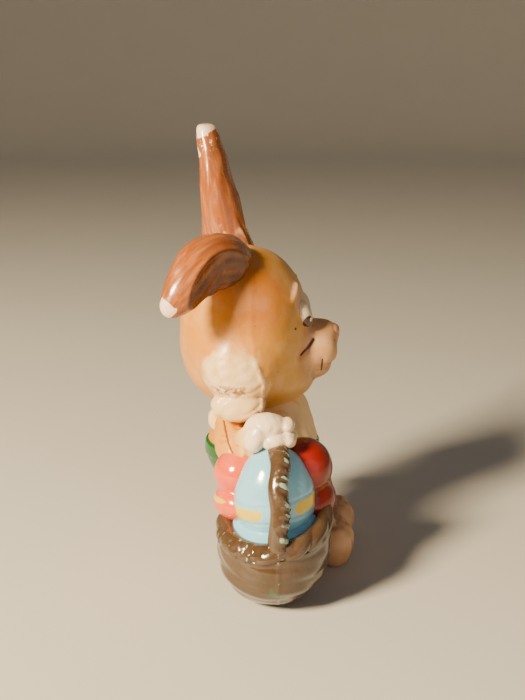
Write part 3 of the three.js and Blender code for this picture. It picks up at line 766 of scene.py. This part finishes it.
collar_mesh, collar_points = moulding("collar", collar_lumps(), 0.26, relief=fur_relief)
set_attribute(collar_mesh, "wear", 0.1 * ramp(collar_points[:, 2], 24, 27))
cream_paint = Paint("fur_cream", CREAM).age(
    0.42, grime=0.45, blotch=0.5, coat=0.15, under=srgb(238, 206, 170))
finished("collar", collar_mesh, cream_paint, ["collar"])


def chest_relief(points):
    """Locks of fur that hang down the front of the chest."""
    x, y, z = points.T
    tufts = np.abs(np.sin(1.25 * x)) * 0.25 + np.sin(4.0 * x + 1.5 * np.sin(0.8 * z)) * 0.1
    return tufts * ramp(y, 0, -4) + 0.06 * ripple(points, 2.6)


chest_mesh, chest_points = moulding("chest", [
    lump((0, 0, 21.2), (8.3, 9.9, 8.3)),
    lump((0, -3.4, 26.4), (5.6, 5.0, 5.4), soft=2.0),
    lump((0, 1.6, 28.0), (4.8, 5.2, 4.6), soft=2.0),
], 0.3, relief=chest_relief)
set_attribute(chest_mesh, "back", chest_points[:, 1] - 0.5 + 0.6 * np.sin(chest_points[:, 2]))
chest_paint = Paint("chest_paint", CREAM)
chest_paint.patch("back", OCHRE, 0.5, 1.0)
finished("chest", chest_mesh, chest_paint.age(0.42, grime=0.6, coat=0.15),
         ["chest_front_shell", "chest_rear_shell"])

# ---------------------------------------------------------------- trousers and tail
# High green trousers in thick glossy paint, with a band round the top, soft folds, a fly seam in front and
# a turned-up hem on each leg. The round cream tail comes through at the back.
WAIST = 21.5
trouser_lumps = [
    lump((0, 0, 20.6), (8.75, 10.25, 8.4)),
    lump((0, -1.3, 11.8), (8.9, 8.6, 8.4), soft=2.5),
    *both_sides(lump((-4.7, -1.3, 5.8), (4.3, 5.4, 5.0), soft=1.2)),
    *both_sides(lump((-4.7, -1.3, 2.6), (4.6, 5.7, 1.25), soft=0.3)),
]


def trouser_relief(points):
    """The waistband with its stitched edge, the seams, the fly and the folds."""
    x, y, z = points.T
    band = 0.22 * ramp(z, WAIST - 2.1, WAIST - 1.8)
    stitch = -0.12 * np.exp(-((z - WAIST + 2.0) / 0.16) ** 2)
    seam = seam_ridge(points, 0.0, 0.12, 0.24) * ramp(z, 3.8, 4.4)
    fly = -0.2 * np.exp(-(x / 0.2) ** 2) * ramp(y, -3, -6) * ramp(z, 4, 6)
    folds = 0.2 * np.sin(0.9 * z + 0.35 * np.abs(x) + 1.3 * np.sin(0.5 * y))
    folds *= ramp(z, 17, 12) * ramp(z, 3.5, 5.5)
    return band + stitch + seam + fly + folds + 0.06 * ripple(points, 3.5)


above_waist = lump((0, 0, WAIST + 100), (100.0, 100.0, 100.0), soft=0.35)
below_hem = lump((0, 0, -98.7), (100.0, 100.0, 100.0), soft=0.3)
trouser_mesh, trouser_points = moulding(
    "trousers", trouser_lumps, 0.32, [above_waist, below_hem], trouser_relief)
set_attribute(trouser_mesh, "wear", 0.28 * np.exp(-(trouser_points[:, 1] / 0.4) ** 2)
              + 0.2 * ramp(trouser_points[:, 2], WAIST - 0.5, WAIST))
GREEN = srgb(12, 84, 28)
trouser_paint = Paint("trouser_paint", GREEN)
glossy_green = trouser_paint.age(0.24, grime=0.5, blotch=0.5, coat=0.6, under=srgb(196, 202, 160))
finished("trousers", trouser_mesh, glossy_green, ["trousers_front_shell", "trousers_rear_shell"])


def tail_relief(points):
    """Strokes of fur down the tail."""
    return 0.14 * np.sin(6.5 * points[:, 0] + 2.0 * np.sin(2.2 * points[:, 2])) + 0.1 * ripple(points, 1.2)


tail_box = np.array(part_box("tail")) / MM - datum
tail_middle = tail_box.mean(axis=0)
tail_mesh, _ = moulding("tail", [
    lump(tail_middle, (2.3, 2.2, 2.3)),
    *both_sides(lump(tail_middle + (-1.0, 0.3, -0.8), (1.2, 1.4, 1.3), soft=0.4)),
    lump(tail_middle + (0, 0.3, 1.0), (1.2, 1.3, 1.2), soft=0.4),
], 0.2, relief=tail_relief)
finished("tail", tail_mesh, cream_paint, ["tail"])

# ---------------------------------------------------------------- arms and hands
# The arms are moulded with the body and end in cream hands. The right hand is moulded round the basket's
# handle, and the left one rests on the trousers. Folds and fur are scored into the plastic.


def right_arm_route(t):
    """The middle of the right arm, from the shoulder at 0 to the wrist at 1."""
    return bend((-6.0, 5.0, 27.4), (-12.8, 5.6, 20.8), (-15.6, 1.2, 27.6), t)


def left_arm_route(t):
    """The middle of the left arm, from the shoulder at 0 to the wrist at 1."""
    return bend((6.0, 5.0, 26.6), (16.1, 6.8, 17.6), (9.6, -4.6, 18.0), t)


# The crease inside the right elbow: (how far behind the datum, height) of its corners.
ARM_CREASE = [(7.4, 30.2), (6.3, 27.2), (3.9, 23.2)]


def arm(name, route, side, wide, extra, cuff, creased=()):
    """Model and paint one arm: ochre, and cream past the share of its length that cuff gives. A creased elbow
    also gets a darker ochre line along the crease, which is painted shade.
    """
    lumps = strung(route, side, wide, [0.95 * each for each in wide], 8) + extra

    def arm_relief(points):
        """Creases at the elbow and the wrist, and strokes of fur."""
        t, across, forward = route_place(points, route, side)
        crease = -0.4 * np.exp(-(side_distance(points, creased) / 0.34) ** 2) if creased else 0
        folds = -0.32 * np.exp(-((t - cuff - 0.05 * np.sin(1.5 * across)) / 0.035) ** 2)
        folds -= 0.22 * np.exp(-((t - cuff - 0.16 - 0.07 * np.sin(across)) / 0.03) ** 2)
        fur = 0.09 * np.sin(4.6 * across + 2.2 * forward + 4 * t + ripple(points, 4.0))
        return crease + folds + fur + 0.05 * ripple(points, 2.4)

    mesh, points = moulding(name, lumps, 0.26, relief=arm_relief)
    t, across, forward = route_place(points, route, side)
    set_attribute(mesh, "cuff", (t - cuff) * 14 + 0.8 * np.sin(1.9 * across))
    set_attribute(mesh, "wear", 0.12 * ramp(t, 0, 0.5))
    paint = Paint(name + "_paint", srgb(224, 150, 20))
    paint.patch("cuff", srgb(240, 188, 100), 0.9, 1.5)
    # Painted shade: the elbow crease drawn in a darker ochre.
    for corners in zip(creased[:-1], creased[1:]):
        scored(paint, corners, 0.22, srgb(126, 74, 20))
    finished(name, mesh, paint.age(0.34, grime=0.4, blotch=0.5, coat=0.3), [name])


arm("arm_right", right_arm_route, (0, 1, 0), (2.9, 3.3, 3.2, 2.8, 2.5), [
    lump((-11.2, 5.2, 22.4), (1.7, 1.5, 2.0), (20, 0, 0), soft=1.2),
    lump((-13.6, 2.6, 24.4), (2.0, 2.2, 2.8), (-15, 10, 0), soft=1.4),
], 0.86, ARM_CREASE)
arm("arm_left", left_arm_route, (0, 0, 1), (2.8, 3.1, 3.0, 2.6, 2.2), [], 0.72)

right_hand_lumps = [
    lump((-15.6, 0.9, 28.0), (2.8, 2.5, 2.9)),
    lump((-16.4, -0.7, 29.9), (2.9, 3.3, 2.2), soft=1.2),
    lump((-17.9, 1.2, 28.2), (1.9, 1.7, 2.5), (20, 0, 0), soft=0.9),
    lump((-18.3, -1.9, 27.9), (1.6, 2.2, 1.45), (-8, 0, 0), soft=0.4),
    lump((-16.4, -4.1, 30.1), (2.2, 1.3, 1.15), soft=0.4),
    lump((-16.8, -4.2, 28.0), (2.6, 1.5, 1.6), soft=0.4),
]


def hand_relief(points):
    """The unevenness of a small soft casting."""
    return 0.07 * ripple(points, 1.6, 1.0) + 0.04 * ripple(points, 0.8, 3.0)


hand_paint = Paint("hand_paint", srgb(250, 218, 188)).age(
    0.4, grime=0.35, blotch=0.45, coat=0.2, under=srgb(248, 228, 208))
hand_mesh, _ = moulding("hand_right", right_hand_lumps, 0.2, relief=hand_relief)
finished("hand_right", hand_mesh, hand_paint, ["hand_right"])

left_fingers = [
    lump((7.2 - 0.2 * k, -8.4 - 0.1 * k, 20.0 - 1.6 * k), (2.5, 1.2, 0.95), (0, 8, -34), soft=0.3)
    for k in range(3)
]
left_hand_lumps = [
    lump((8.7, -6.2, 18.4), (2.3, 2.9, 2.5)),
    *left_fingers,
    lump((8.4, -5.4, 20.6), (1.2, 1.9, 0.95), (20, 0, 20), soft=0.35),
]
left_hand_mesh, _ = moulding("hand_left", left_hand_lumps, 0.2)
finished("hand_left", left_hand_mesh, hand_paint, ["hand_left"])

# ---------------------------------------------------------------- feet
# Long hind feet with three toes each, moulded with the legs, cream all over, flat underneath so that the
# figurine stands.
floor_cut = lump((0, 0, -400.0), (400.0, 400.0, 400.0), soft=0.3)


def foot(name, middle, lead):
    """Model one foot whose middle is so far to the rabbit's left, with its toes lead further forward."""
    toes = [
        lump((middle + 2.45 * k, -13.9 - lead + 0.5 * abs(k), 3.7), (1.6, 2.75, 4.0), (8, 0, 0), soft=0.22)
        for k in (-1, 0, 1)
    ]
    lumps = [
        lump((middle, -4.75, 2.9), (3.7, 9.0, 4.0)),
        lump((middle, -11.2 - lead, 4.1), (3.8, 3.6, 3.9), soft=1.2),
        lump((middle, -8.6 - lead, 6.6), (2.9, 4.5, 3.9), (-24, 0, 0), soft=1.2),
        *toes,
    ]

    def foot_relief(points):
        """Strokes of fur on the upper side of the foot."""
        x, y, z = points.T
        fur = 0.07 * np.sin(3.4 * (x - middle) + np.sin(0.7 * y)) * ramp(z, 4, 6)
        return fur + 0.05 * ripple(points, 2.6)

    mesh, points = moulding(name, lumps, 0.26, [floor_cut], foot_relief)
    points[:, 2] = np.maximum(points[:, 2], 0.0)
    put_points(mesh, points)
    set_attribute(mesh, "wear", 0.16 * ramp(points[:, 1], -14, -16))
    finished(name, mesh, foot_paint, [name])


foot_paint = Paint("foot_paint", srgb(214, 162, 118)).age(0.36, grime=0.5, blotch=0.5, coat=0.3)
foot("foot_right", -4.8, 0.0)
foot("foot_left", 4.8, 0.8)

# ---------------------------------------------------------------- the basket
# A bowl of rounded coils parted on the same plane as the rabbit, a twisted rim and a twisted arched
# handle, all in thick glossy taupe paint that is rubbed along the seam.
rim_box = np.array(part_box("basket_rim")) / MM - datum
handle_box = np.array(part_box("basket_handle")) / MM - datum
BASKET_MIDDLE = np.array([rim_box[:, 0].mean(), rim_box[:, 1].mean()])
HANDLE_PLACE = handle_box[:, 1].mean()
RIM_HEIGHT = 13.9
LEAN = 0.26  # how steeply the rim rises towards the rabbit
TILT = 0.14  # how steeply the rim rises towards the front
RIM_RADIUS = 1.62
RIM_REACH = np.array([8.25, 8.2])
TAUPE = srgb(78, 56, 36)


def leaned(points):
    """The same points with the basket leaning out and back, more so towards the rim."""
    points = points.copy()
    slope = (points[:, 0] - BASKET_MIDDLE[0]) * LEAN - (points[:, 1] - BASKET_MIDDLE[1]) * TILT
    points[:, 2] += slope * np.clip(points[:, 2] / RIM_HEIGHT, 0, 1)
    return points


def mesh_from(shape, name):
    """A mesh of a finished bmesh, with its faces turned outwards."""
    mesh = bpy.data.meshes.new(name)
    bmesh.ops.recalc_face_normals(shape, faces=shape.faces)
    shape.to_mesh(mesh)
    shape.free()
    return mesh


def turned(outline, steps):
    """Turn an outline of (radius, height) points about the upright axis, and close its doubles."""
    shape = bmesh.new()
    corners = [shape.verts.new((radius, 0, height)) for radius, height in outline]
    edges = [shape.edges.new(pair) for pair in zip(corners[:-1], corners[1:])]
    bmesh.ops.spin(shape, geom=corners + edges, cent=(0, 0, 0), axis=(0, 0, 1), dvec=(0, 0, 0),
                   angle=2 * pi, steps=steps, use_merge=True, use_duplicate=False)
    bmesh.ops.remove_doubles(shape, verts=shape.verts, dist=1e-5)
    return shape


BOWL_TOP = 13.2
BOWL_REACH = 9.75
BOWL_FOOT = 2.4  # radius of the flat that it stands on
BOWL_WALL = 1.6
BOWL_DEPTH = 0.98  # front to back, as a share of its width
SIDE_STEPS = 20
FOOT_STEPS = 8


def bowl_outline(steps):
    """The bowl's profile in millimetres: out across the foot, up the side, and down the inside."""
    climb = np.linspace(0, pi / 2, steps)
    sunk = BOWL_REACH - (BOWL_REACH ** 2 - BOWL_FOOT ** 2) ** 0.5
    outer = [(BOWL_REACH * sin(a), BOWL_REACH * (1 - cos(a)) - sunk) for a in climb]
    outer = [(radius, height) for radius, height in outer if height >= 0]
    side_foot = outer[-1][1]
    side_rise = (BOWL_TOP - side_foot) / SIDE_STEPS
    outer += [(BOWL_REACH, side_foot + side_rise * (k + 1)) for k in range(SIDE_STEPS)]
    inner = [(radius - BOWL_WALL, max(height, BOWL_WALL)) for radius, height in reversed(outer)]
    flat = [(BOWL_FOOT * k / FOOT_STEPS, 0.0) for k in range(FOOT_STEPS)]
    return flat + outer + inner + [(0.0, BOWL_WALL)]


bowl_mesh = mesh_from(turned(bowl_outline(90), 220), "basket_bowl")
bowl_points = np.empty(len(bowl_mesh.vertices) * 3)
bowl_mesh.vertices.foreach_get("co", bowl_points)
bowl_points = bowl_points.reshape(-1, 3)
around = np.arctan2(bowl_points[:, 1], bowl_points[:, 0])
out = np.hypot(bowl_points[:, 0], bowl_points[:, 1])
height = bowl_points[:, 2]
COILS = 3.0
wave = height + 0.7 * np.sin(2 * around + 0.6) + 0.3 * np.sin(5 * around)
coil = np.sqrt(np.sin(pi * COILS * wave / BOWL_TOP + 0.4) ** 2 + 0.05)
twist = np.sin(7 * around + 1.6 * height + 0.8 * np.sin(3 * around))
swell = 0.34 * (coil ** 0.8 - 1) + 0.1 * twist * coil
swell *= ramp(height, 0.4, 2.2)
bowl_points[:, 0] += np.cos(around) * swell
bowl_points[:, 1] += np.sin(around) * swell
bowl_points[:, :2] = bowl_points[:, :2] * (1.0, BOWL_DEPTH) + BASKET_MIDDLE
bowl_points = leaned(bowl_points)
ridge = seam_ridge(bowl_points, HANDLE_PLACE, 0.16, 0.22) * ramp(out, 4, 6)
bowl_points[:, 0] += np.cos(around) * ridge
put_points(bowl_mesh, bowl_points)
set_attribute(bowl_mesh, "crease", 0.3 + ramp(coil, 0.3, 0.0) * 0.5)
beside_seam = np.abs(bowl_points[:, 1] - HANDLE_PLACE)
set_attribute(bowl_mesh, "wear", 0.4 * np.exp(-(beside_seam / 0.45) ** 2) + 0.1)
smear = line_distance(bowl_points, [(-26.9, -1.9, 5.6), (-26.6, -2.9, 4.8)])
set_attribute(bowl_mesh, "smear", 0.75 - smear)


def basket_paint(name, bits):
    """Glossy taupe, with bits of pale green paint on its bumps or else a smear of green."""
    paint = Paint(name, TAUPE)
    if bits:
        paint.patch("bits", srgb(146, 178, 160), 0.12, 2.2)
    else:
        paint.patch("smear", srgb(40, 104, 52), 0.3, 2.2)
    return paint.age(0.2, grime=0.65, blotch=0.55, paler=1.35, coat=0.75, coat_roughness=0.08, bump=0.2,
                     under=srgb(166, 146, 116))


finished("basket_bowl", bowl_mesh, basket_paint("bowl_paint", False),
         ["basket_front_shell", "basket_rear_shell"])


def rope_radius(radius, around_bar, twist_angle, depth):
    """Radius of a two-strand twisted bar with its grooves softened by paint."""
    return radius * (1 - depth + depth * np.abs(np.cos(around_bar - twist_angle)) ** 0.7)


def round_bar(steps, sides):
    """A closed ring of unit radius with a thin bar, to be moved onto a rim or a handle."""
    shape = bmesh.new()
    upright = Matrix.Translation((1, 0, 0)) @ Matrix.Rotation(pi / 2, 4, "X")
    bmesh.ops.create_circle(shape, segments=sides, radius=0.3, matrix=upright)
    bmesh.ops.spin(shape, geom=shape.verts[:] + shape.edges[:], cent=(0, 0, 0), axis=(0, 0, 1),
                   dvec=(0, 0, 0), angle=2 * pi, steps=steps, use_merge=True, use_duplicate=False)
    bmesh.ops.remove_doubles(shape, verts=shape.verts, dist=1e-5)
    return shape


def bar_angles(mesh):
    """For each vertex of such a ring: its angle along the ring, and its angle round the bar."""
    flat = np.empty(len(mesh.vertices) * 3)
    mesh.vertices.foreach_get("co", flat)
    x, y, z = flat.reshape(-1, 3).T
    return np.arctan2(y, x), np.arctan2(z, np.hypot(x, y) - 1)


rim_mesh = mesh_from(round_bar(300, 40), "basket_rim")
along_rim, around_bar = bar_angles(rim_mesh)
RIM_TURNS = 7
TWIST_DEPTH = 0.22
KNOB_RISE = 0.07
wander = 0.5 * np.sin(2 * along_rim + 1.0) + 0.35 * np.sin(5 * along_rim)
radius = rope_radius(RIM_RADIUS * 1.08, around_bar, RIM_TURNS * along_rim + wander, TWIST_DEPTH)
outer_side = ramp(np.cos(around_bar), -0.35, 0.3)
knobbly = ramp(np.sin(along_rim), 0.15, 0.5) * ramp(-np.cos(along_rim), 0.0, 0.3)
knobs = np.sin(30 * along_rim + 1.5 * np.sin(7 * along_rim)) * np.sin(3 * around_bar + 4 * along_rim)
radius *= 1 + 0.05 * np.sin(9 * along_rim + 0.7) + KNOB_RISE * knobbly * knobs
radius = radius * outer_side + RIM_RADIUS * (1 - outer_side)
rim_points = np.stack([
    (RIM_REACH[0] + radius * np.cos(around_bar)) * np.cos(along_rim) + BASKET_MIDDLE[0],
    (RIM_REACH[1] + radius * np.cos(around_bar)) * np.sin(along_rim) + BASKET_MIDDLE[1],
    RIM_HEIGHT + radius * np.sin(around_bar),
], axis=1)
rim_points = leaned(rim_points)
put_points(rim_mesh, rim_points)
groove = np.abs(np.cos(around_bar - RIM_TURNS * along_rim - wander))
set_attribute(rim_mesh, "crease", ramp(groove, 0.4, 0.0) * 0.5)
set_attribute(rim_mesh, "wear", 0.22 * ramp(groove, 0.75, 1.0)
              + 0.4 * np.exp(-((rim_points[:, 1] - HANDLE_PLACE) / 0.4) ** 2))
set_attribute(rim_mesh, "bits", (knobbly * knobs - 0.9) * 1.2)
finished("basket_rim", rim_mesh, basket_paint("rim_paint", True), ["basket_rim"])

# The handle's bar is the half of such a ring that stands over the rim, its ends sunk into the rim.
HANDLE_RISE = 12.7
HANDLE_RADIUS = 1.45
HANDLE_SQUARENESS = 0.8  # below 1 the arch has squarer shoulders than a half circle
handle_shape = round_bar(320, 32)
whole_ring = handle_shape.verts[:] + handle_shape.edges[:] + handle_shape.faces[:]
bmesh.ops.bisect_plane(handle_shape, geom=whole_ring, plane_co=(0, -0.02, 0), plane_no=(0, 1, 0),
                       clear_inner=True)
bmesh.ops.holes_fill(handle_shape, edges=[edge for edge in handle_shape.edges if edge.is_boundary])
handle_mesh = mesh_from(handle_shape, "basket_handle")
along_arch, around_bar = bar_angles(handle_mesh)
HANDLE_TURNS = 23
on_front = ramp(np.sin(around_bar), 0.15, -0.3)
arch_twist = HANDLE_TURNS * along_arch + 0.9 * np.sin(5 * along_arch) + 0.8 * np.sin(13 * along_arch)
radius = rope_radius(HANDLE_RADIUS * 1.1, around_bar, arch_twist, 0.26)
radius = radius * on_front + HANDLE_RADIUS * 0.96 * (1 - on_front)
across_arch = np.sign(np.cos(along_arch)) * np.abs(np.cos(along_arch)) ** HANDLE_SQUARENESS
handle_points = np.stack([
    BASKET_MIDDLE[0] - (RIM_REACH[0] + radius * np.cos(around_bar)) * across_arch,
    HANDLE_PLACE + radius * np.sin(around_bar) * 1.15 + 0.2 * np.sin(9 * along_arch),
    RIM_HEIGHT + (HANDLE_RISE + radius * np.cos(around_bar)) * np.sin(along_arch),
], axis=1)
handle_points = leaned(handle_points)
put_points(handle_mesh, handle_points)
groove = np.abs(np.cos(around_bar - arch_twist))
set_attribute(handle_mesh, "crease", ramp(groove, 0.4, 0.0) * 0.5 * on_front)
set_attribute(handle_mesh, "wear", 0.3 * ramp(groove, 0.7, 1.0) * on_front + 0.1)
scattered = 0.3 * np.sin(6.1 * along_arch + 1.2) ** 2
set_attribute(handle_mesh, "bits", (ramp(groove, 0.4, 0.9) * on_front - 0.78 - scattered) * 1.2)
finished("basket_handle", handle_mesh, basket_paint("handle_paint", True), ["basket_handle"])

# ---------------------------------------------------------------- the eggs
# The eggs and the bed that they lie on are one moulding with the basket, each egg in its own glossy
# colour, with scored lines and a band, the red egg and its band darkened with painted shade. The bed is
# painted with the blue egg.
BLUE = srgb(142, 206, 236)
YELLOW = srgb(232, 196, 30)
BAND_TILT = 0.16
BRUSH_GAP = 2.6  # how close to the handle's plane the yellow band was painted


def band_height(points):
    """Height measured along an egg that leans with the basket, with an unsteady hand."""
    return points[:, 2] + BAND_TILT * (points[:, 1] - HANDLE_PLACE) + 0.12 * ripple(points, 4.0, 3.0)


def egg(name, lumps, colour, bands, band_colour, cuts_at, extra=None, coat=0.8):
    """Model and paint one egg. bands are (height, half-width), and cuts_at the heights of scored lines."""
    def egg_relief(points):
        """Lines scored round the egg."""
        z = band_height(points)
        cuts = sum(-0.2 * np.exp(-((z - line) / 0.17) ** 2) for line in cuts_at)
        return cuts + 0.05 * ripple(points, 3.0, 1.0)

    mesh, points = moulding(name, lumps, 0.26, relief=egg_relief)
    z = band_height(points)
    band = np.max([half - np.abs(z - middle) for middle, half in bands] + [np.full(len(z), -5.0)], axis=0)
    if extra:
        band = merge(band, extra(points), 1.3)
    set_attribute(mesh, "band", band)
    set_attribute(mesh, "wear", np.full(len(z), 0.02))
    paint = Paint(name + "_paint", colour)
    paint.patch("band", band_colour, 0.12, 0.7)
    finished(name, mesh, paint.age(0.2, grime=0.6, blotch=0.3, coat=coat, coat_roughness=0.08, bump=0.1),
             [name])


def clear_of_handle(points):
    """Above 0 away from the handle's plane, where the brush could reach."""
    return np.abs(points[:, 1] - HANDLE_PLACE) - BRUSH_GAP


def back_only(points):
    """Above 0 on the back of the coral egg, where its band was painted before the blue egg."""
    return points[:, 1] - 5.6


egg("egg_blue", [
    lump((-17.8, -2.0, 16.4), (6.1, 6.5, 6.2)),
    lump((-17.8, -2.0, 19.6), (5.6, 6.1, 7.2), soft=3.0),
], BLUE, [(17.5, 1.1)], YELLOW, [19.0, 15.9], clear_of_handle)
egg("egg_coral", [
    lump((-14.4, 3.3, 21.1), (4.7, 4.9, 4.3)),
    lump((-15.0, 3.3, 16.2), (5.1, 5.1, 3.5), soft=0.5),
], srgb(240, 86, 34), [(18.9, 0.3)], YELLOW, [], back_only)
# The red egg and its brownish band are darkened: partly the egg's own deep red, partly painted shade for the
# shadow of the handle and the hand.
egg("egg_red", [
    lump((-13.8, -6.8, 21.8), (5.0, 5.1, 5.0)),
    lump((-14.4, -7.1, 16.4), (5.6, 5.4, 4.8), soft=1.4),
], srgb(140, 26, 12), [(18.4, 0.3)], srgb(150, 80, 34), [18.7], coat=0.35)

bed_mesh, bed_points = moulding("egg_bed", [
    lump((BASKET_MIDDLE[0], BASKET_MIDDLE[1], 13.1), (8.8, 8.7, 2.9)),
], 0.3, relief=lambda points: 0.08 * ripple(points, 2.0, 4.0))
bed_points = leaned(bed_points)
put_points(bed_mesh, bed_points)
from_middle = np.linalg.norm(bed_points[:, :2] - BASKET_MIDDLE, axis=1)
set_attribute(bed_mesh, "wear", 0.08 + 0.5 * ramp(from_middle, 6.7, 7.2))
bed_paint = Paint("bed_paint", BLUE).age(0.22, grime=0.8, blotch=0.4, coat=0.7)
finished("egg_bed", bed_mesh, bed_paint, ["egg_bed"])

# ---------------------------------------------------------------- the post in the neck
# A plain ochre plug inside the collar that the head is cemented on. It hardly shows.
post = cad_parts["neck_post"]
post_paint = Paint("post_paint", OCHRE).age(0.5, grime=0.4, coat=0.0)
post.data.materials.clear()
post.data.materials.append(post_paint)


# ---------------------------------------------------------------- the table, the lights and the camera
# The figure stands on a plain pale sheet that is swept up all round, lit by one soft warm lamp high on
# its right and behind it, with a weak fill from in front. None of this belongs to the part.
def studio_material(name, colour, roughness):
    """Plain matt paper with a faint unevenness."""
    material = bpy.data.materials.new(name)
    material.use_nodes = True
    shader = material.node_tree.nodes["Principled BSDF"]
    shader.inputs["Roughness"].default_value = roughness
    place = material.node_tree.nodes.new("ShaderNodeTexCoord").outputs["Object"]
    grain = add_noise(material.node_tree, place, 18.0)
    darker = tuple(channel * 0.94 for channel in colour[:3]) + (1.0,)
    tone = add_mix(material.node_tree, grain, colour, darker)
    material.node_tree.links.new(tone, shader.inputs["Base Color"])
    return material


TABLE_REACH = 0.9
SWEEP_RADIUS = 0.5
SWEEP_TOP = 1.4
curve = [radians(angle) for angle in range(0, 91, 6)]
paper_line = [(TABLE_REACH * k / 6, 0.0) for k in range(6)]
paper_line += [(TABLE_REACH + SWEEP_RADIUS * sin(a), SWEEP_RADIUS * (1 - cos(a))) for a in curve]
paper_line.append((TABLE_REACH + SWEEP_RADIUS, SWEEP_TOP))
table_mesh = mesh_from(turned(paper_line, 96), "table")
table_mesh.flip_normals()
for polygon in table_mesh.polygons:
    polygon.use_smooth = True
table_mesh.materials.append(studio_material("table_top", srgb(214, 208, 200), 0.6))
table = bpy.data.objects.new("table", table_mesh)
bpy.context.collection.objects.link(table)

world = bpy.data.worlds.new("studio")
world.use_nodes = True
world.node_tree.nodes["Background"].inputs["Color"].default_value = (0.85, 0.86, 0.9, 1.0)
world.node_tree.nodes["Background"].inputs["Strength"].default_value = 0.12
bpy.context.scene.world = world


def at(point):
    """A place given in millimetres from the datum, in metres in the scene."""
    return Vector((np.array(point) + datum) * MM)


def add_lamp(name, place, aim, size, power, colour):
    """A round soft lamp at a place, turned towards its aim."""
    data = bpy.data.lights.new(name, "AREA")
    data.shape = "DISK"
    data.size = size
    data.energy = power
    data.color = colour
    lamp = bpy.data.objects.new(name, data)
    lamp.location = at(place)
    lamp.rotation_euler = (at(aim) - at(place)).to_track_quat("-Z", "Y").to_euler()
    bpy.context.collection.objects.link(lamp)


FIGURE_MIDDLE = (-8, 0, 36)
add_lamp("key", (-270, 290, 270), FIGURE_MIDDLE, 0.11, 7.6, (1.0, 0.83, 0.53))
add_lamp("fill", (-420, -260, 160), FIGURE_MIDDLE, 0.5, 0.3, (0.92, 0.95, 1.0))

CAMERA_TILT = 15.0
CAMERA_PLACE = (-181, 0, 87)
camera_data = bpy.data.cameras.new("camera")
camera_data.sensor_fit = "VERTICAL"
camera_data.sensor_height = 36.0
camera_data.lens = 54.1
camera_data.clip_start = 0.01
camera = bpy.data.objects.new("camera", camera_data)
camera.location = at(CAMERA_PLACE)
camera.rotation_euler = Euler((radians(90 - CAMERA_TILT), 0, radians(-90)))
bpy.context.collection.objects.link(camera)
bpy.context.scene.camera = camera
